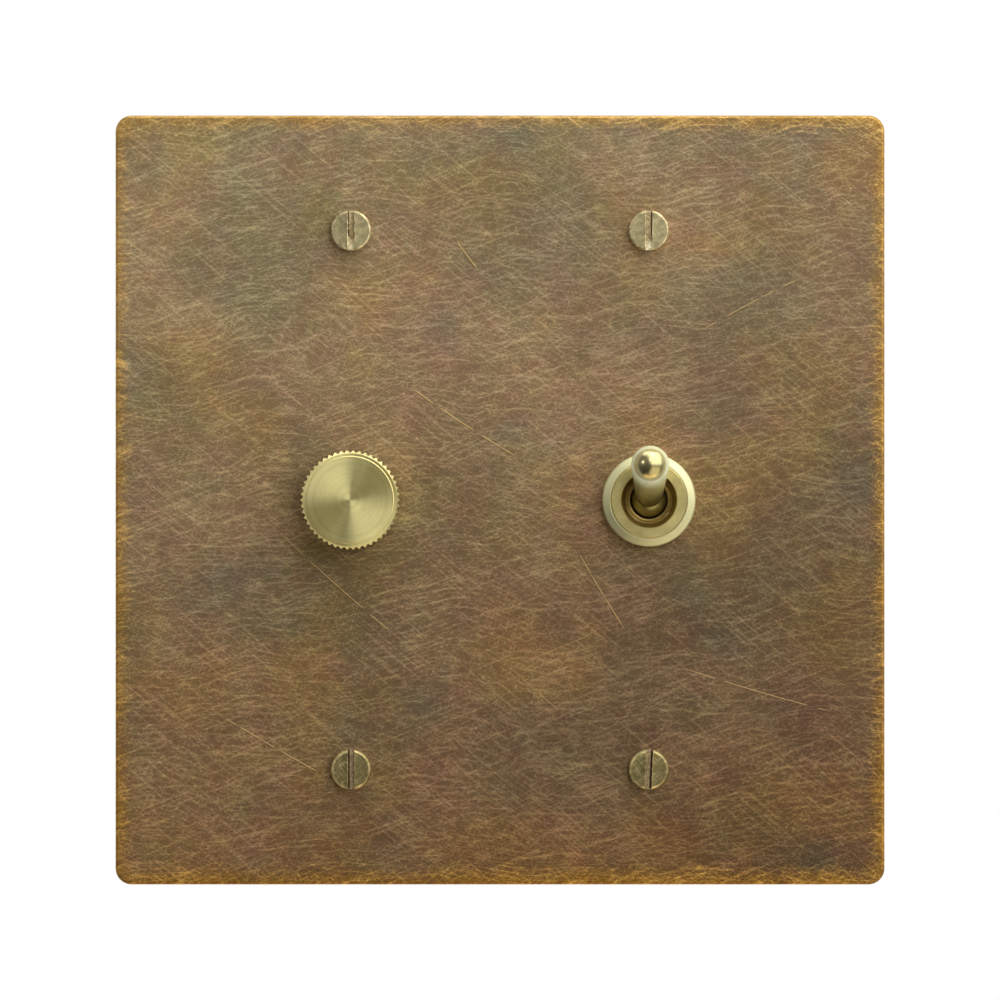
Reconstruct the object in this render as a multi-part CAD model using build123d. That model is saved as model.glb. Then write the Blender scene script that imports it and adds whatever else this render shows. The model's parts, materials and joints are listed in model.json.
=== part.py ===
from build123d import *

import os
from math import cos, pi, radians, sin, tan

# Two-gang brass wall plate: a rotary dimmer with a knurled knob on the left, a toggle switch on the right.
#
# Row frame, in millimetres: +X right and +Z up as seen from the room, +Y into the wall.
# The origin is the centre of the plate's back face, where it meets the wall, so the front face is at -Y.
# Each function below builds one separate piece of the assembly, in the place where it sits at rest:
# toggle up, knob released and turned fully anticlockwise.

CLEAR = 0.05  # running gap between pieces that slide or turn
SEAT = 0.02  # gap between pieces that are screwed or pressed together
CUT = 1.0  # how far a cut runs past the face it starts from
HOLE_GAP = 0.15  # room round the threaded necks in the plate

# Face plate and its screws
PLATE_SIDE = 119.0
PLATE_T = 3.0
PLATE_CORNER_R = 2.5
PLATE_EDGE_R = 0.45
LAND_W = 8.0  # flat border that rests on the wall
RECESS = 0.5  # how far the middle of the back is milled below that border
RECESS_CORNER_R = 4.0
GANG_PITCH = 46.04  # 1-13/16 in between gang centres
BOX_SCREW_PITCH = 83.34  # 3-9/32 in between box screws
SCREW_HOLE_R = 2.1
SCREW_HEAD_R = 3.1
SCREW_HEAD_H = 2.1
SCREW_HEAD_EDGE_R = 0.4
SCREW_SLOT_W = 1.0
SCREW_SLOT_D = 1.15
SCREW_SLOT_CHAMFER = 0.1
SCREW_LENGTH = 25.4
SCREW_NECK_R = 1.5
SCREW_THREAD_R = 1.75
SCREW_ROOT_R = 1.42
SCREW_THREAD_START = 1.0
SCREW_LEAD_IN = 1.0  # unthreaded length at the tip
SCREW_POINT = 0.6  # length of the tapered point
SCREW_POINT_R = 0.92
PITCH_32 = 25.4 / 32  # 32 threads to the inch

FRONT = -PLATE_T
BACK = -RECESS  # the milled back surface that the controls bear on

# Earth connection on the back of the plate
EARTH_X = 6.0
EARTH_Z = 34.0
EARTH_STUD_R = 2.0
EARTH_STUD_ROOT_R = 1.65
EARTH_STUD_TIP_R = 1.4
EARTH_STUD_END = 8.0
EARTH_PITCH = 0.7
EARTH_FOOT_R = 3.2
EARTH_FOOT_T = 0.8
EARTH_WASHER_R = 4.2
EARTH_WASHER_T = 0.8
EARTH_NUT_AF = 7.0
EARTH_NUT_CORNER_R = 3.85
EARTH_NUT_T = 3.0

# Toggle: bush, nuts and ball joint
TOGGLE_X = GANG_PITCH / 2
PIVOT_Y = -2.4  # centre of the ball
BUSH_R = 5.95  # 15/32 in thread
BUSH_ROOT_R = 5.5
BUSH_FRONT = FRONT - 4.25
BUSH_PLAIN_END = FRONT - 2.6  # the thread starts just behind this
BUSH_BACK = 4.7
BUSH_CHAMFER = 0.22
BUSH_BACK_BORE_R = 4.4
BUSH_FLANGE_R = 6.8
BUSH_FLANGE_T = 0.8
MOUTH_R = 4.22
MOUTH_CHAMFER = 0.15
MOUTH_STEP = 0.1  # how far each step inside the mouth stands in
MOUTH_STEP_1_D = 0.65
MOUTH_STEP_2_D = 1.0
THROAT_R = 2.9
THROAT_FRONT = -4.5
THROAT_BACK = -4.1
LIP_W = 0.5  # rounded lip round the throat
LIP_H = 0.17
BOWL_W = 0.8  # lip and trough together, where the side of the bowl begins
BOWL_RISE = 0.15
SOCKET_R = 3.4
SOCKET_END = PIVOT_Y + 0.3
DRESS_NUT_R = 7.2
DRESS_NUT_FRONT = BUSH_FRONT + 0.2
DRESS_NUT_CONE_DROP = 0.55
DRESS_NUT_RIM_R = 0.35
DRESS_NUT_BORE_FLAT = 0.12
BACK_NUT_AF = 14.3
BACK_NUT_CORNER_R = 7.9
BACK_NUT_T = 2.0
LOCK_WASHER_T = 0.6
LOCK_WASHER_R = 8.2
LOCK_WASHER_TEETH = 12
LOCATING_RING_R = 9.5
LOCATING_RING_T = 0.7
LOCATING_TAB_Z = 8.4
LOCATING_TAB_W = 2.2
LOCATING_TAB_T = 0.8
LOCATING_TAB_REACH = 1.0
LOCATING_HOLE_R = 1.6
LOCATING_HOLE_D = 1.3

# Toggle: lever, measured from its pivot
LEVER_TILT = 16.5  # either side of level
BALL_R = 3.3
LEVER_TIP_R = 2.93
LEVER_TIP_D = 19.0  # pivot to the centre of the round tip
LEVER_FOOT_R = 2.1
LEVER_FOOT_D = 3.1
LEVER_FOOT_CHAMFER = 0.15
LEVER_WAIST_R = 1.8
TAIL_R = 1.9
TAIL_END = 9.5
TAIL_BORE_R = 1.3
TAIL_BORE_START = 3.2
PIN_R = 0.8
PIN_HALF = 4.7
PLUNGER_R = 1.22
PLUNGER_START = 6.6
PLUNGER_TIP_D = 12.8
SPRING_WIRE_R = 0.17
SPRING_GAP = 0.08  # between the spring and its bore
SPRING_TURNS = 5

# Toggle: frame, case and contacts
FRAME_T = 1.0
FRAME_W = 17.5
FRAME_H = 29.0
FRAME_BACK = BUSH_BACK + FRAME_T
FRAME_CORNER_R = 1.5
FRAME_BORE_R = 4.6
FRAME_EAR_HALF = 7.0
FRAME_EAR_END = 17.0
FRAME_TAB_T = 1.0
FRAME_TAB_Z = 3.5
FRAME_TAB_HALF = 1.5
FRAME_TAB_BITE = 0.8  # how far each tab reaches into the case
TONGUE_W = 9.0
TONGUE_H = 10.0
TONGUE_CORNER_R = 2.0
TONGUE_HOLE_R = 1.8
GROUND_SCREW_Z = FRAME_H / 2 + 3
CASE_W = 15.4
CASE_CORNER_R = 1.2
CASE_CHAMFER = 0.6
CASE_FRONT = FRAME_BACK
CASE_BACK = 24.0
CASE_FLOOR = 17.5
CAVITY_W = 11.0
CAVITY_H = 25.0
CAVITY_CORNER_R = 1.5
BARRIER_W = 11.0  # walls between the terminals
BARRIER_H = 2.6
BARRIER_T = 1.2
TAB_NOTCH_D = 1.0
TAB_NOTCH_GAP = 0.2  # in height, round a frame tab
ROCKER_Y = 12.57  # the rocker's pivot
ROCKER_TILT = LEVER_TILT / 2
ROCKER_W = 5.0
ROCKER_T = 0.8
ROCKER_PIN_R = 0.6
ROCKER_PIN_L = 7.2
KNUCKLE_R = 1.15
KNUCKLE_T = 0.8
KNUCKLE_Y = 0.2
CUP_FRONT = -0.9  # middle of the rocker's cupped front, from its pivot
CUP_HALF = 3.9
CUP_LIP = -2.12
CUP_SHOULDER = 0.8  # flat lip beyond the cup
ARM_REACH = 9.4
ARM_FRONT = CUP_LIP + 1.3
ARM_BACK = ARM_FRONT + ROCKER_T
ARM_FLAT = 3.0  # length of the level end of each arm
CONTACT_Z = 8.0
CONTACT_R = 1.5
CONTACT_BACK = 0.6  # back face of a moving contact, from the rocker's pivot
CONTACT_T = 0.6
TERMINAL_T = 0.8
TERMINAL_PITCH = 9.5
TERMINAL_W = 8.0
TERMINAL_H = 7.0
TERMINAL_GAP = 0.1  # between a terminal and its seat in the case
TERMINAL_HOLE_R = 1.75
TERMINAL_LEG_W = 5.0
TERMINAL_LEG_SLOT_GAP = 0.1
TERMINAL_SCREW_HEAD_R = 2.9
TERMINAL_SCREW_HEAD_T = 2.0
TERMINAL_SCREW_R = 1.7
TERMINAL_SCREW_L = 4.6
TERMINAL_SCREW_WELL_R = 1.9
TERMINAL_SCREW_WELL_D = 5.0
CRADLE_Y = 15.6  # front of the flat that carries the fork
CRADLE_W = 7.0
CRADLE_BOTTOM = -3.0
CRADLE_TOP = 2.0
FORK_HALF = 1.3
FORK_RISE = 1.2
GROUND_SCREW_HEAD_R = 3.0
GROUND_SCREW_HEAD_T = 2.2
GROUND_SCREW_R = 1.75
GROUND_SCREW_L = 3.4
PAN_EDGE = 0.5  # how far a pan head's crown is drawn in
PAN_CROWN_START = 0.6  # of the head's thickness
PAN_SLOT_FLOOR = 0.45  # of the head's thickness
PAN_SLOT_HALF = 0.45

# Dimmer: knob, shaft and neck
DIMMER_X = -GANG_PITCH / 2
KNOB_TIP_R = 7.66
KNOB_ROOT_R = 7.22
KNOB_TEETH = 50
KNOB_DISC_R = 6.8
KNOB_STEP = 0.4
KNOB_FRONT = -16.8
KNOB_BACK = FRONT - 1.8
KNOB_RECESS_R = 6.55
KNOB_RECESS_END = -9.2
KNOB_CHAMFER = 0.35
KNOB_DISC_EDGE_R = 0.15
PRESS_TRAVEL = 1.2
SHAFT_R = 3.0
SHAFT_FRONT = -14.8
SHAFT_BACK = 10.2
SHAFT_FLAT = 2.25  # axis to the flat
SHAFT_TIP_CHAMFER = 0.5
SHAFT_END_R = 1.6
SHAFT_END_L = 1.2
GRUB_R = 1.5
GRUB_INSET = 0.9  # below the knob's root
GRUB_SOCKET_AF = 1.5
GRUB_SOCKET_D = 1.6
GRUB_Y = -12.2
NECK_R = 4.5
NECK_ROOT_R = 4.1
NECK_FRONT = -6.3
NECK_PITCH = 0.75
NECK_CHAMFER = 0.4
FRONT_NUT_AF = 11.0
FRONT_NUT_CORNER_R = 6.1
FRONT_NUT_T = 2.0
STAR_WASHER_T = 0.6
STAR_WASHER_R = 7.2
STAR_WASHER_TEETH = 10

# Dimmer: chassis, case and electronics
CHASSIS_FRONT = BACK + STAR_WASHER_T
CHASSIS_T = 1.5
CHASSIS_BACK = CHASSIS_FRONT + CHASSIS_T
CHASSIS_W = 41.0
CHASSIS_H = 58.0
CHASSIS_CORNER_R = 3.0
CHASSIS_SCREW_HOLE_R = 1.3
FLANGE_DEPTH = 16.0
FLANGE_HALF = 24.0
FLANGE_NOTCH_START = 8.0
FLANGE_NOTCH_HALF = 1.6
FLANGE_NOTCH_PITCH = 9
DCASE_W = 37.6
DCASE_H = 52.0
DCASE_BACK = 27.0
DCASE_WALL = 1.8
DCASE_CORNER_R = 3.0
DCASE_EDGE_R = 1.2
VENT_COUNT = 5
VENT_PITCH = 4.2
VENT_BOTTOM = 2.0
VENT_W = 18.0
VENT_H = 1.5
BOSS_X = 15.4
BOSS_Z = 22.6
BOSS_R = 2.9
BOSS_BORE_R = 1.35
CASE_SCREW_WELL_R = 2.45
CASE_SCREW_WELL_D = 2.4
CASE_SCREW_HEAD_R = 2.2
CASE_SCREW_HEAD_T = 1.5
CASE_SCREW_R = 1.2
PCB_FRONT = 17.0
PCB_T = 1.6
PCB_BACK = PCB_FRONT + PCB_T
PCB_W = 33.0
PCB_H = 47.0
POT_CAN_R = 9.2
POT_CAN_T = 0.5
POT_BACK = 9.9
POT_BORE_R = 3.4
POT_PIN_R = 0.45
POT_PIN_PITCH_R = 6.3
POT_PIN_STEP = 30  # degrees between the pins
NECK_FLANGE_R = 8.6
NECK_FLANGE_BACK = CHASSIS_BACK + 1.2
CLIP_Y = CHASSIS_BACK + 1.35
CLIP_T = 0.5
CLIP_R = 4.4
CLIP_GROOVE_R = 2.1
CLIP_MOUTH_HALF = 1.6
STOP_R_IN = 7.7
STOP_R_OUT = 8.3
STOP_HALF_ANGLE = 35
LUG_R_IN = 7.0
LUG_R_OUT = 8.35
LUG_HALF_ANGLE = 7
LUG_REST_ANGLE = 45
ROTOR_R = 7.4
ROTOR_FRONT = 4.9
ROTOR_T = 1.6
ROTOR_BACK = ROTOR_FRONT + ROTOR_T
TRACK_FRONT = 8.1
TRACK_T = 1.2
BRUSH_R_OUT = 6.9
BRUSH_R_IN = 3.8
BRUSH_T = 0.25
BRUSH_FINGER_R = 0.45
BRUSH_FINGER_Z1 = 4.6
BRUSH_FINGER_Z2 = 6.2

# Dimmer: push switch
SWITCH_W = 8.5
SWITCH_CORNER_R = 0.6
SWITCH_FRONT = 12.5
SWITCH_FLOOR = PCB_FRONT - 0.6
BUTTON_R = 1.7
BUTTON_BACK = SWITCH_FRONT + 1.2
SWITCH_SPRING_R = 1.2
SWITCH_SPRING_WIRE_R = 0.2
SWITCH_SPRING_TURNS = 4

# Dimmer: leads and their sleeve
LEAD_R = 1.45
LEAD_PITCH = 6.0
LEAD_Z = -20.0
LEAD_FAN = 5.0  # how far the outer leads spread
LEAD_DROP = 17.0
LEAD_REACH = 14.0  # behind the case
COPPER_R = 0.8
COPPER_L = 9.0
OUTLET_W = 19.0
OUTLET_H = 5.4
OUTLET_CORNER_R = 2.6
SLEEVE_GAP = 0.1
SLEEVE_LIP = 1.2  # how far the outer flange overlaps the case
SLEEVE_LIP_T = 1.6
SLEEVE_LIP_CORNER_R = 3.6

# Dimmer: parts on the board and on the chassis
CHOKE_Z = 14.6
CHOKE_FRONT = PCB_BACK + 0.9
CHOKE_T = 3.6
CHOKE_R_OUT = 7.0
CHOKE_R_IN = 4.0
WINDING_T = 0.6
WINDING_GAP = 0.1
WINDING_TURNS = 24
TRIAC_Z = -13.0
TRIAC_HALF_W = 5.0
TRIAC_TAB_T = 1.3
TRIAC_TAB_END = 10.8
TRIAC_BODY_T = 4.4
TRIAC_BODY_BOTTOM = 5.0
TRIAC_BODY_TOP = 3.0
TRIAC_HOLE_Z = TRIAC_Z - 8.0
TRIAC_HOLE_R = 1.8
TRIAC_LEG_PITCH = 2.54
TRIAC_LEG_HALF = 0.4
TRIAC_LEG_Y = 2.4
TRIAC_LEG_T = 0.5
TRIAC_SCREW_HEAD_R = 2.6
TRIAC_SCREW_HEAD_T = 1.8
TRIAC_SCREW_R = 1.45
CAPACITOR_HALF_W = 9.0
CAPACITOR_FRONT = 4.6
CAPACITOR_BOTTOM = 11.5
CAPACITOR_TOP = 19.0
CAPACITOR_EDGE_R = 0.5
FUSE_Z = -10.0
FUSE_R = 1.5
FUSE_L = 9.0
FUSE_CAP_R = 1.7
FUSE_CAP_L = 2.6
FUSE_CAP_X = 4.2


def facing_wall(x, z, y):
    """Work plane at depth y with its normal into the wall. Its local x is the row's X and its local y points down."""
    return Plane(origin=(x, y, z), x_dir=(1, 0, 0), z_dir=(0, 1, 0))


def prism(x, z, outline, y0, y1):
    """An outline centred on (x, z), extruded from depth y0 to y1."""
    return extrude(facing_wall(x, z, y0) * outline, amount=y1 - y0)


def rod(x, z, r, y0, y1):
    return prism(x, z, Circle(r), y0, y1)


def block(x0, x1, y0, y1, z0, z1):
    centre = ((x0 + x1) / 2, (y0 + y1) / 2, (z0 + z1) / 2)
    return Pos(*centre) * Box(abs(x1 - x0), abs(y1 - y0), abs(z1 - z0))


def turned(x, z, *edges):
    """A (radius, depth) half-outline, given as points or as edges, revolved about the line through (x, z) along Y."""
    outline = Polyline(*edges, close=True) if isinstance(edges[0], tuple) else Curve() + list(edges)
    half = Plane(origin=(x, 0, z), x_dir=(1, 0, 0), z_dir=(0, 0, 1)) * make_face(outline)
    return revolve(half, Axis((x, 0, z), (0, 1, 0)))


def rings(r_crest, r_root, y0, y1, pitch):
    """Outline points of a thread from y0 to y1, drawn as parallel rings at the thread's pitch."""
    points = []
    for i in range(int((y1 - y0) / pitch)):
        y = y0 + i * pitch
        points.append((r_root, y))
        points.append((r_crest, y + 0.32 * pitch))
        points.append((r_crest, y + 0.46 * pitch))
        points.append((r_root, y + 0.78 * pitch))
    return points


def coil(x, z, r, wire_r, y0, y1, turns):
    """A compression spring along Y, from depth y0 to y1."""
    path = Helix(pitch=(y1 - y0 - 2 * wire_r) / turns, height=y1 - y0 - 2 * wire_r, radius=r)
    wire = sweep(Plane(origin=path @ 0, z_dir=path % 0) * Circle(wire_r), path=path)
    return Plane(origin=(x, y0 + wire_r, z), x_dir=(1, 0, 0), z_dir=(0, 1, 0)) * wire


def hexagon(across_flats):
    return RegularPolygon(across_flats / 2, 6, major_radius=False)


# ---------------------------------------------------------------- face plate


def box_screw_places():
    """Centres of the four box screws."""
    xs = (-GANG_PITCH / 2, GANG_PITCH / 2)
    zs = (-BOX_SCREW_PITCH / 2, BOX_SCREW_PITCH / 2)
    return [(x, z) for x in xs for z in zs]


def face_plate():
    plate = prism(0, 0, RectangleRounded(PLATE_SIDE, PLATE_SIDE, PLATE_CORNER_R), FRONT, 0)
    plate = fillet(plate.faces().sort_by(Axis.Y)[0].edges(), PLATE_EDGE_R)
    inner = PLATE_SIDE - 2 * LAND_W
    plate -= prism(0, 0, RectangleRounded(inner, inner, RECESS_CORNER_R), BACK, CUT)
    for x, z in box_screw_places():
        plate -= rod(x, z, SCREW_HOLE_R, FRONT - CUT, CUT)
    plate -= rod(TOGGLE_X, 0, BUSH_R + HOLE_GAP, FRONT - CUT, CUT)
    plate -= rod(DIMMER_X, 0, NECK_R + HOLE_GAP, FRONT - CUT, CUT)
    plate -= rod(TOGGLE_X, LOCATING_TAB_Z, LOCATING_HOLE_R, BACK - LOCATING_HOLE_D, CUT)
    return plate


def plate_screws():
    """Four slotted cheese-head screws with 32 threads to the inch, their slots upright."""
    head_top = FRONT - SEAT - SCREW_HEAD_H
    tip = FRONT + SCREW_LENGTH
    screw = turned(
        0,
        0,
        (0, head_top),
        (SCREW_HEAD_R, head_top),
        (SCREW_HEAD_R, FRONT - SEAT),
        (SCREW_NECK_R, FRONT - SEAT),
        (SCREW_NECK_R, SCREW_THREAD_START - 0.2),
        *rings(SCREW_THREAD_R, SCREW_ROOT_R, SCREW_THREAD_START, tip - SCREW_LEAD_IN, PITCH_32),
        (SCREW_ROOT_R, tip - SCREW_POINT),
        (SCREW_POINT_R, tip),
        (0, tip),
    )
    rim = screw.edges().filter_by(GeomType.CIRCLE).sort_by(Axis.Y)[0]
    screw = fillet(rim, SCREW_HEAD_EDGE_R)
    slot_half = SCREW_SLOT_W / 2
    slot_reach = SCREW_HEAD_R + CUT
    screw -= block(-slot_half, slot_half, head_top - CUT, head_top + SCREW_SLOT_D, -slot_reach, slot_reach)
    slot_edges = screw.edges().filter_by(Axis.Z).group_by(Axis.Y)[0]
    screw = chamfer(slot_edges, SCREW_SLOT_CHAMFER)
    return Compound([Pos(x, 0, z) * screw for x, z in box_screw_places()])


def earth_stud():
    """Threaded post soldered to the back of the plate."""
    foot_back = BACK + EARTH_FOOT_T
    thread = rings(EARTH_STUD_R, EARTH_STUD_ROOT_R, foot_back + 0.2, EARTH_STUD_END - 0.5, EARTH_PITCH)
    return turned(
        EARTH_X,
        EARTH_Z,
        (0, BACK + SEAT),
        (EARTH_FOOT_R, BACK + SEAT),
        (EARTH_FOOT_R, foot_back),
        (EARTH_STUD_R, foot_back),
        *thread,
        (EARTH_STUD_TIP_R, EARTH_STUD_END),
        (0, EARTH_STUD_END),
    )


def earth_washer():
    y0 = BACK + EARTH_FOOT_T + SEAT
    y1 = y0 + EARTH_WASHER_T
    ring = rod(EARTH_X, EARTH_Z, EARTH_WASHER_R, y0, y1)
    return ring - rod(EARTH_X, EARTH_Z, EARTH_STUD_R + CLEAR, y0 - CUT, y1 + CUT)


def earth_nut():
    y0 = BACK + EARTH_FOOT_T + EARTH_WASHER_T + 2 * SEAT
    y1 = y0 + EARTH_NUT_T
    nut = prism(EARTH_X, EARTH_Z, hexagon(EARTH_NUT_AF), y0, y1)
    nut &= rod(EARTH_X, EARTH_Z, EARTH_NUT_CORNER_R, y0, y1)
    return nut - rod(EARTH_X, EARTH_Z, EARTH_STUD_R + CLEAR, y0 - CUT, y1 + CUT)


# ---------------------------------------------------------------- toggle switch


def bush_mouth():
    """Outline points of the bush's dished mouth: a rounded lip at the throat, a bowl, and two steps at the rim."""
    points = []
    for i in range(5):
        a = pi * i / 4
        points.append((THROAT_R + LIP_W / 2 * (1 - cos(a)), THROAT_FRONT - LIP_H * sin(a)))
    first, second = BUSH_FRONT + MOUTH_STEP_1_D, BUSH_FRONT + MOUTH_STEP_2_D
    points.append((THROAT_R + BOWL_W, THROAT_FRONT - BOWL_RISE))
    points.append((MOUTH_R - 2 * MOUTH_STEP, second + MOUTH_STEP))
    points.append((MOUTH_R - MOUTH_STEP, second))
    points.append((MOUTH_R - MOUTH_STEP, first + MOUTH_STEP))
    points.append((MOUTH_R, first))
    points.append((MOUTH_R, BUSH_FRONT + MOUTH_CHAMFER))
    points.append((MOUTH_R + MOUTH_CHAMFER, BUSH_FRONT))
    return points


def toggle_bushing():
    """Threaded brass bush with a dished mouth, a throat that keeps the ball in, and slots for the pivot pin."""
    flange_front = BUSH_BACK - BUSH_FLANGE_T
    outside = [
        (BUSH_R - BUSH_CHAMFER, BUSH_FRONT),
        (BUSH_R, BUSH_FRONT + BUSH_CHAMFER),
        (BUSH_R, BUSH_PLAIN_END),
        *rings(BUSH_R, BUSH_ROOT_R, BUSH_PLAIN_END + 0.2, flange_front - 0.4, PITCH_32),
        (BUSH_ROOT_R, flange_front),
        (BUSH_FLANGE_R, flange_front),
        (BUSH_FLANGE_R, BUSH_BACK - SEAT),
    ]
    socket = [
        (BUSH_BACK_BORE_R, BUSH_BACK - SEAT),
        (SOCKET_R, SOCKET_END),
        (SOCKET_R, THROAT_BACK),
        (THROAT_R, THROAT_BACK),
    ]
    bush = turned(TOGGLE_X, 0, *outside, *socket, *bush_mouth())
    half = PIN_R + CLEAR
    reach = PIN_HALF + 2 * CLEAR
    slot = block(-reach, reach, PIVOT_Y, BUSH_BACK, -half, half)
    slot += Rot(0, 90, 0) * Pos(0, PIVOT_Y, 0) * Cylinder(half, 2 * reach)
    return bush - Pos(TOGGLE_X, 0, 0) * slot


def toggle_dress_nut():
    """Plain round nut with a shallow conical face and a rounded rim, screwed on from the front."""
    bore = BUSH_R + SEAT
    rim_y = DRESS_NUT_FRONT + DRESS_NUT_CONE_DROP
    nut = turned(
        TOGGLE_X,
        0,
        (bore, DRESS_NUT_FRONT),
        (bore + DRESS_NUT_BORE_FLAT, DRESS_NUT_FRONT),
        (DRESS_NUT_R, rim_y),
        (DRESS_NUT_R, FRONT - SEAT),
        (bore, FRONT - SEAT),
    )
    rim = nut.edges().filter_by(GeomType.CIRCLE).filter_by(lambda e: abs(e.center().Y - rim_y) < 0.01)
    return fillet(rim, DRESS_NUT_RIM_R)


def locating_ring():
    """Flat ring whose bent tab drops into the plate and stops the switch turning."""
    y0 = BACK + SEAT
    y1 = y0 + LOCATING_RING_T
    ring = rod(TOGGLE_X, 0, LOCATING_RING_R, y0, y1)
    ring -= rod(TOGGLE_X, 0, BUSH_R + 2 * CLEAR, y0 - CUT, y1 + CUT)
    half_w, half_t = LOCATING_TAB_W / 2, LOCATING_TAB_T / 2
    tab = block(-half_w, half_w, BACK - LOCATING_TAB_REACH, y0 + 0.3, -half_t, half_t)
    return ring + Pos(TOGGLE_X, 0, LOCATING_TAB_Z) * tab


def toothed_washer(x, y0, thickness, r_in, r_out, teeth):
    """Lock washer with teeth cut into its bore."""
    y1 = y0 + thickness
    ring = rod(x, 0, r_out, y0, y1) - rod(x, 0, r_in, y0 - CUT, y1 + CUT)
    gap_r = r_in + 0.55 * (r_out - r_in)
    gap_half = 0.35 * r_in * pi / teeth
    gap = block(r_in - CUT, gap_r, y0 - CUT, y1 + CUT, -gap_half, gap_half)
    for i in range(teeth):
        ring -= Pos(x, 0, 0) * Rot(0, i * 360 / teeth, 0) * gap
    return ring


def toggle_lock_washer():
    y0 = BACK + LOCATING_RING_T + 2 * SEAT
    return toothed_washer(TOGGLE_X, y0, LOCK_WASHER_T, BUSH_R + CLEAR, LOCK_WASHER_R, LOCK_WASHER_TEETH)


def toggle_back_nut():
    y0 = BACK + LOCATING_RING_T + LOCK_WASHER_T + 3 * SEAT
    y1 = y0 + BACK_NUT_T
    nut = prism(TOGGLE_X, 0, hexagon(BACK_NUT_AF), y0, y1)
    nut &= rod(TOGGLE_X, 0, BACK_NUT_CORNER_R, y0, y1)
    return nut - rod(TOGGLE_X, 0, BUSH_R + SEAT, y0 - CUT, y1 + CUT)


def lever_place():
    """Takes a shape built round a level lever, pivot at the origin and tip towards -Y, to its rest tilt."""
    return Pos(TOGGLE_X, PIVOT_Y, 0) * Rot(-LEVER_TILT, 0, 0)


def toggle_lever():
    """Bat lever: round tip, taper, waist, ball, and a hollow tail for the plunger and its spring."""
    tip_end = -LEVER_TIP_D - LEVER_TIP_R
    waist_d = (BALL_R**2 - LEVER_WAIST_R**2) ** 0.5
    tail_d = (BALL_R**2 - TAIL_R**2) ** 0.5
    tip = (LEVER_TIP_R, -LEVER_TIP_D)
    foot = (LEVER_FOOT_R, -LEVER_FOOT_D - LEVER_FOOT_CHAMFER)
    foot_edge = (LEVER_FOOT_R - 0.12, -LEVER_FOOT_D)
    waist_top = (LEVER_WAIST_R, -LEVER_FOOT_D)
    waist = (LEVER_WAIST_R, -waist_d)
    tail = (TAIL_R, tail_d)
    lever = turned(
        0,
        0,
        CenterArc((0, -LEVER_TIP_D), LEVER_TIP_R, 270, 90),
        Line(tip, foot),
        Line(foot, foot_edge),
        Line(foot_edge, waist_top),
        Line(waist_top, waist),
        ThreePointArc(waist, (BALL_R, 0), tail),
        Line(tail, (TAIL_R, TAIL_END)),
        Line((TAIL_R, TAIL_END), (TAIL_BORE_R, TAIL_END)),
        Line((TAIL_BORE_R, TAIL_END), (TAIL_BORE_R, TAIL_BORE_START)),
        Line((TAIL_BORE_R, TAIL_BORE_START), (0, TAIL_BORE_START)),
        Line((0, TAIL_BORE_START), (0, tip_end)),
    )
    lever -= Rot(0, 90, 0) * Cylinder(PIN_R + SEAT, 4 * BALL_R)
    return lever_place() * lever


def lever_pin():
    return Pos(TOGGLE_X, PIVOT_Y, 0) * Rot(0, 90, 0) * Cylinder(PIN_R, 2 * PIN_HALF)


def lever_plunger():
    """Moulded pin that slides in the lever's tail and rides on the rocker."""
    pin = turned(
        0,
        0,
        Line((0, PLUNGER_START), (PLUNGER_R, PLUNGER_START)),
        Line((PLUNGER_R, PLUNGER_START), (PLUNGER_R, PLUNGER_TIP_D)),
        CenterArc((0, PLUNGER_TIP_D), PLUNGER_R, 0, 90),
        Line((0, PLUNGER_TIP_D + PLUNGER_R), (0, PLUNGER_START)),
    )
    return lever_place() * pin


def lever_spring():
    start, end = TAIL_BORE_START + CLEAR, PLUNGER_START - CLEAR
    radius = TAIL_BORE_R - SPRING_WIRE_R - SPRING_GAP
    return lever_place() * coil(0, 0, radius, SPRING_WIRE_R, start, end, SPRING_TURNS)


def toggle_frame():
    """Pressed steel bracket: a face round the bush, two ears down the case, and a tongue for the earth screw."""
    half_w, half_h = FRAME_W / 2, FRAME_H / 2
    frame = prism(TOGGLE_X, 0, RectangleRounded(FRAME_W, FRAME_H, FRAME_CORNER_R), BUSH_BACK, FRAME_BACK)
    tongue_outline = RectangleRounded(TONGUE_W, TONGUE_H, TONGUE_CORNER_R)
    frame += prism(TOGGLE_X, half_h + 2, tongue_outline, BUSH_BACK, FRAME_BACK)
    for side in (-1, 1):
        outer = TOGGLE_X + side * half_w
        inner = TOGGLE_X + side * (half_w - FRAME_T + SEAT)
        tab_end = TOGGLE_X + side * (CASE_W / 2 - FRAME_TAB_BITE)
        frame += block(inner, outer, BUSH_BACK + 0.3, FRAME_EAR_END, -FRAME_EAR_HALF, FRAME_EAR_HALF)
        for z in (-FRAME_TAB_Z, FRAME_TAB_Z):
            tab_front = FRAME_EAR_END - FRAME_TAB_T
            frame += block(inner, tab_end, tab_front, FRAME_EAR_END, z - FRAME_TAB_HALF, z + FRAME_TAB_HALF)
    frame -= rod(TOGGLE_X, 0, FRAME_BORE_R, BUSH_BACK - CUT, FRAME_BACK + CUT)
    return frame - rod(TOGGLE_X, GROUND_SCREW_Z, TONGUE_HOLE_R, BUSH_BACK - CUT, FRAME_BACK + CUT)


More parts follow.
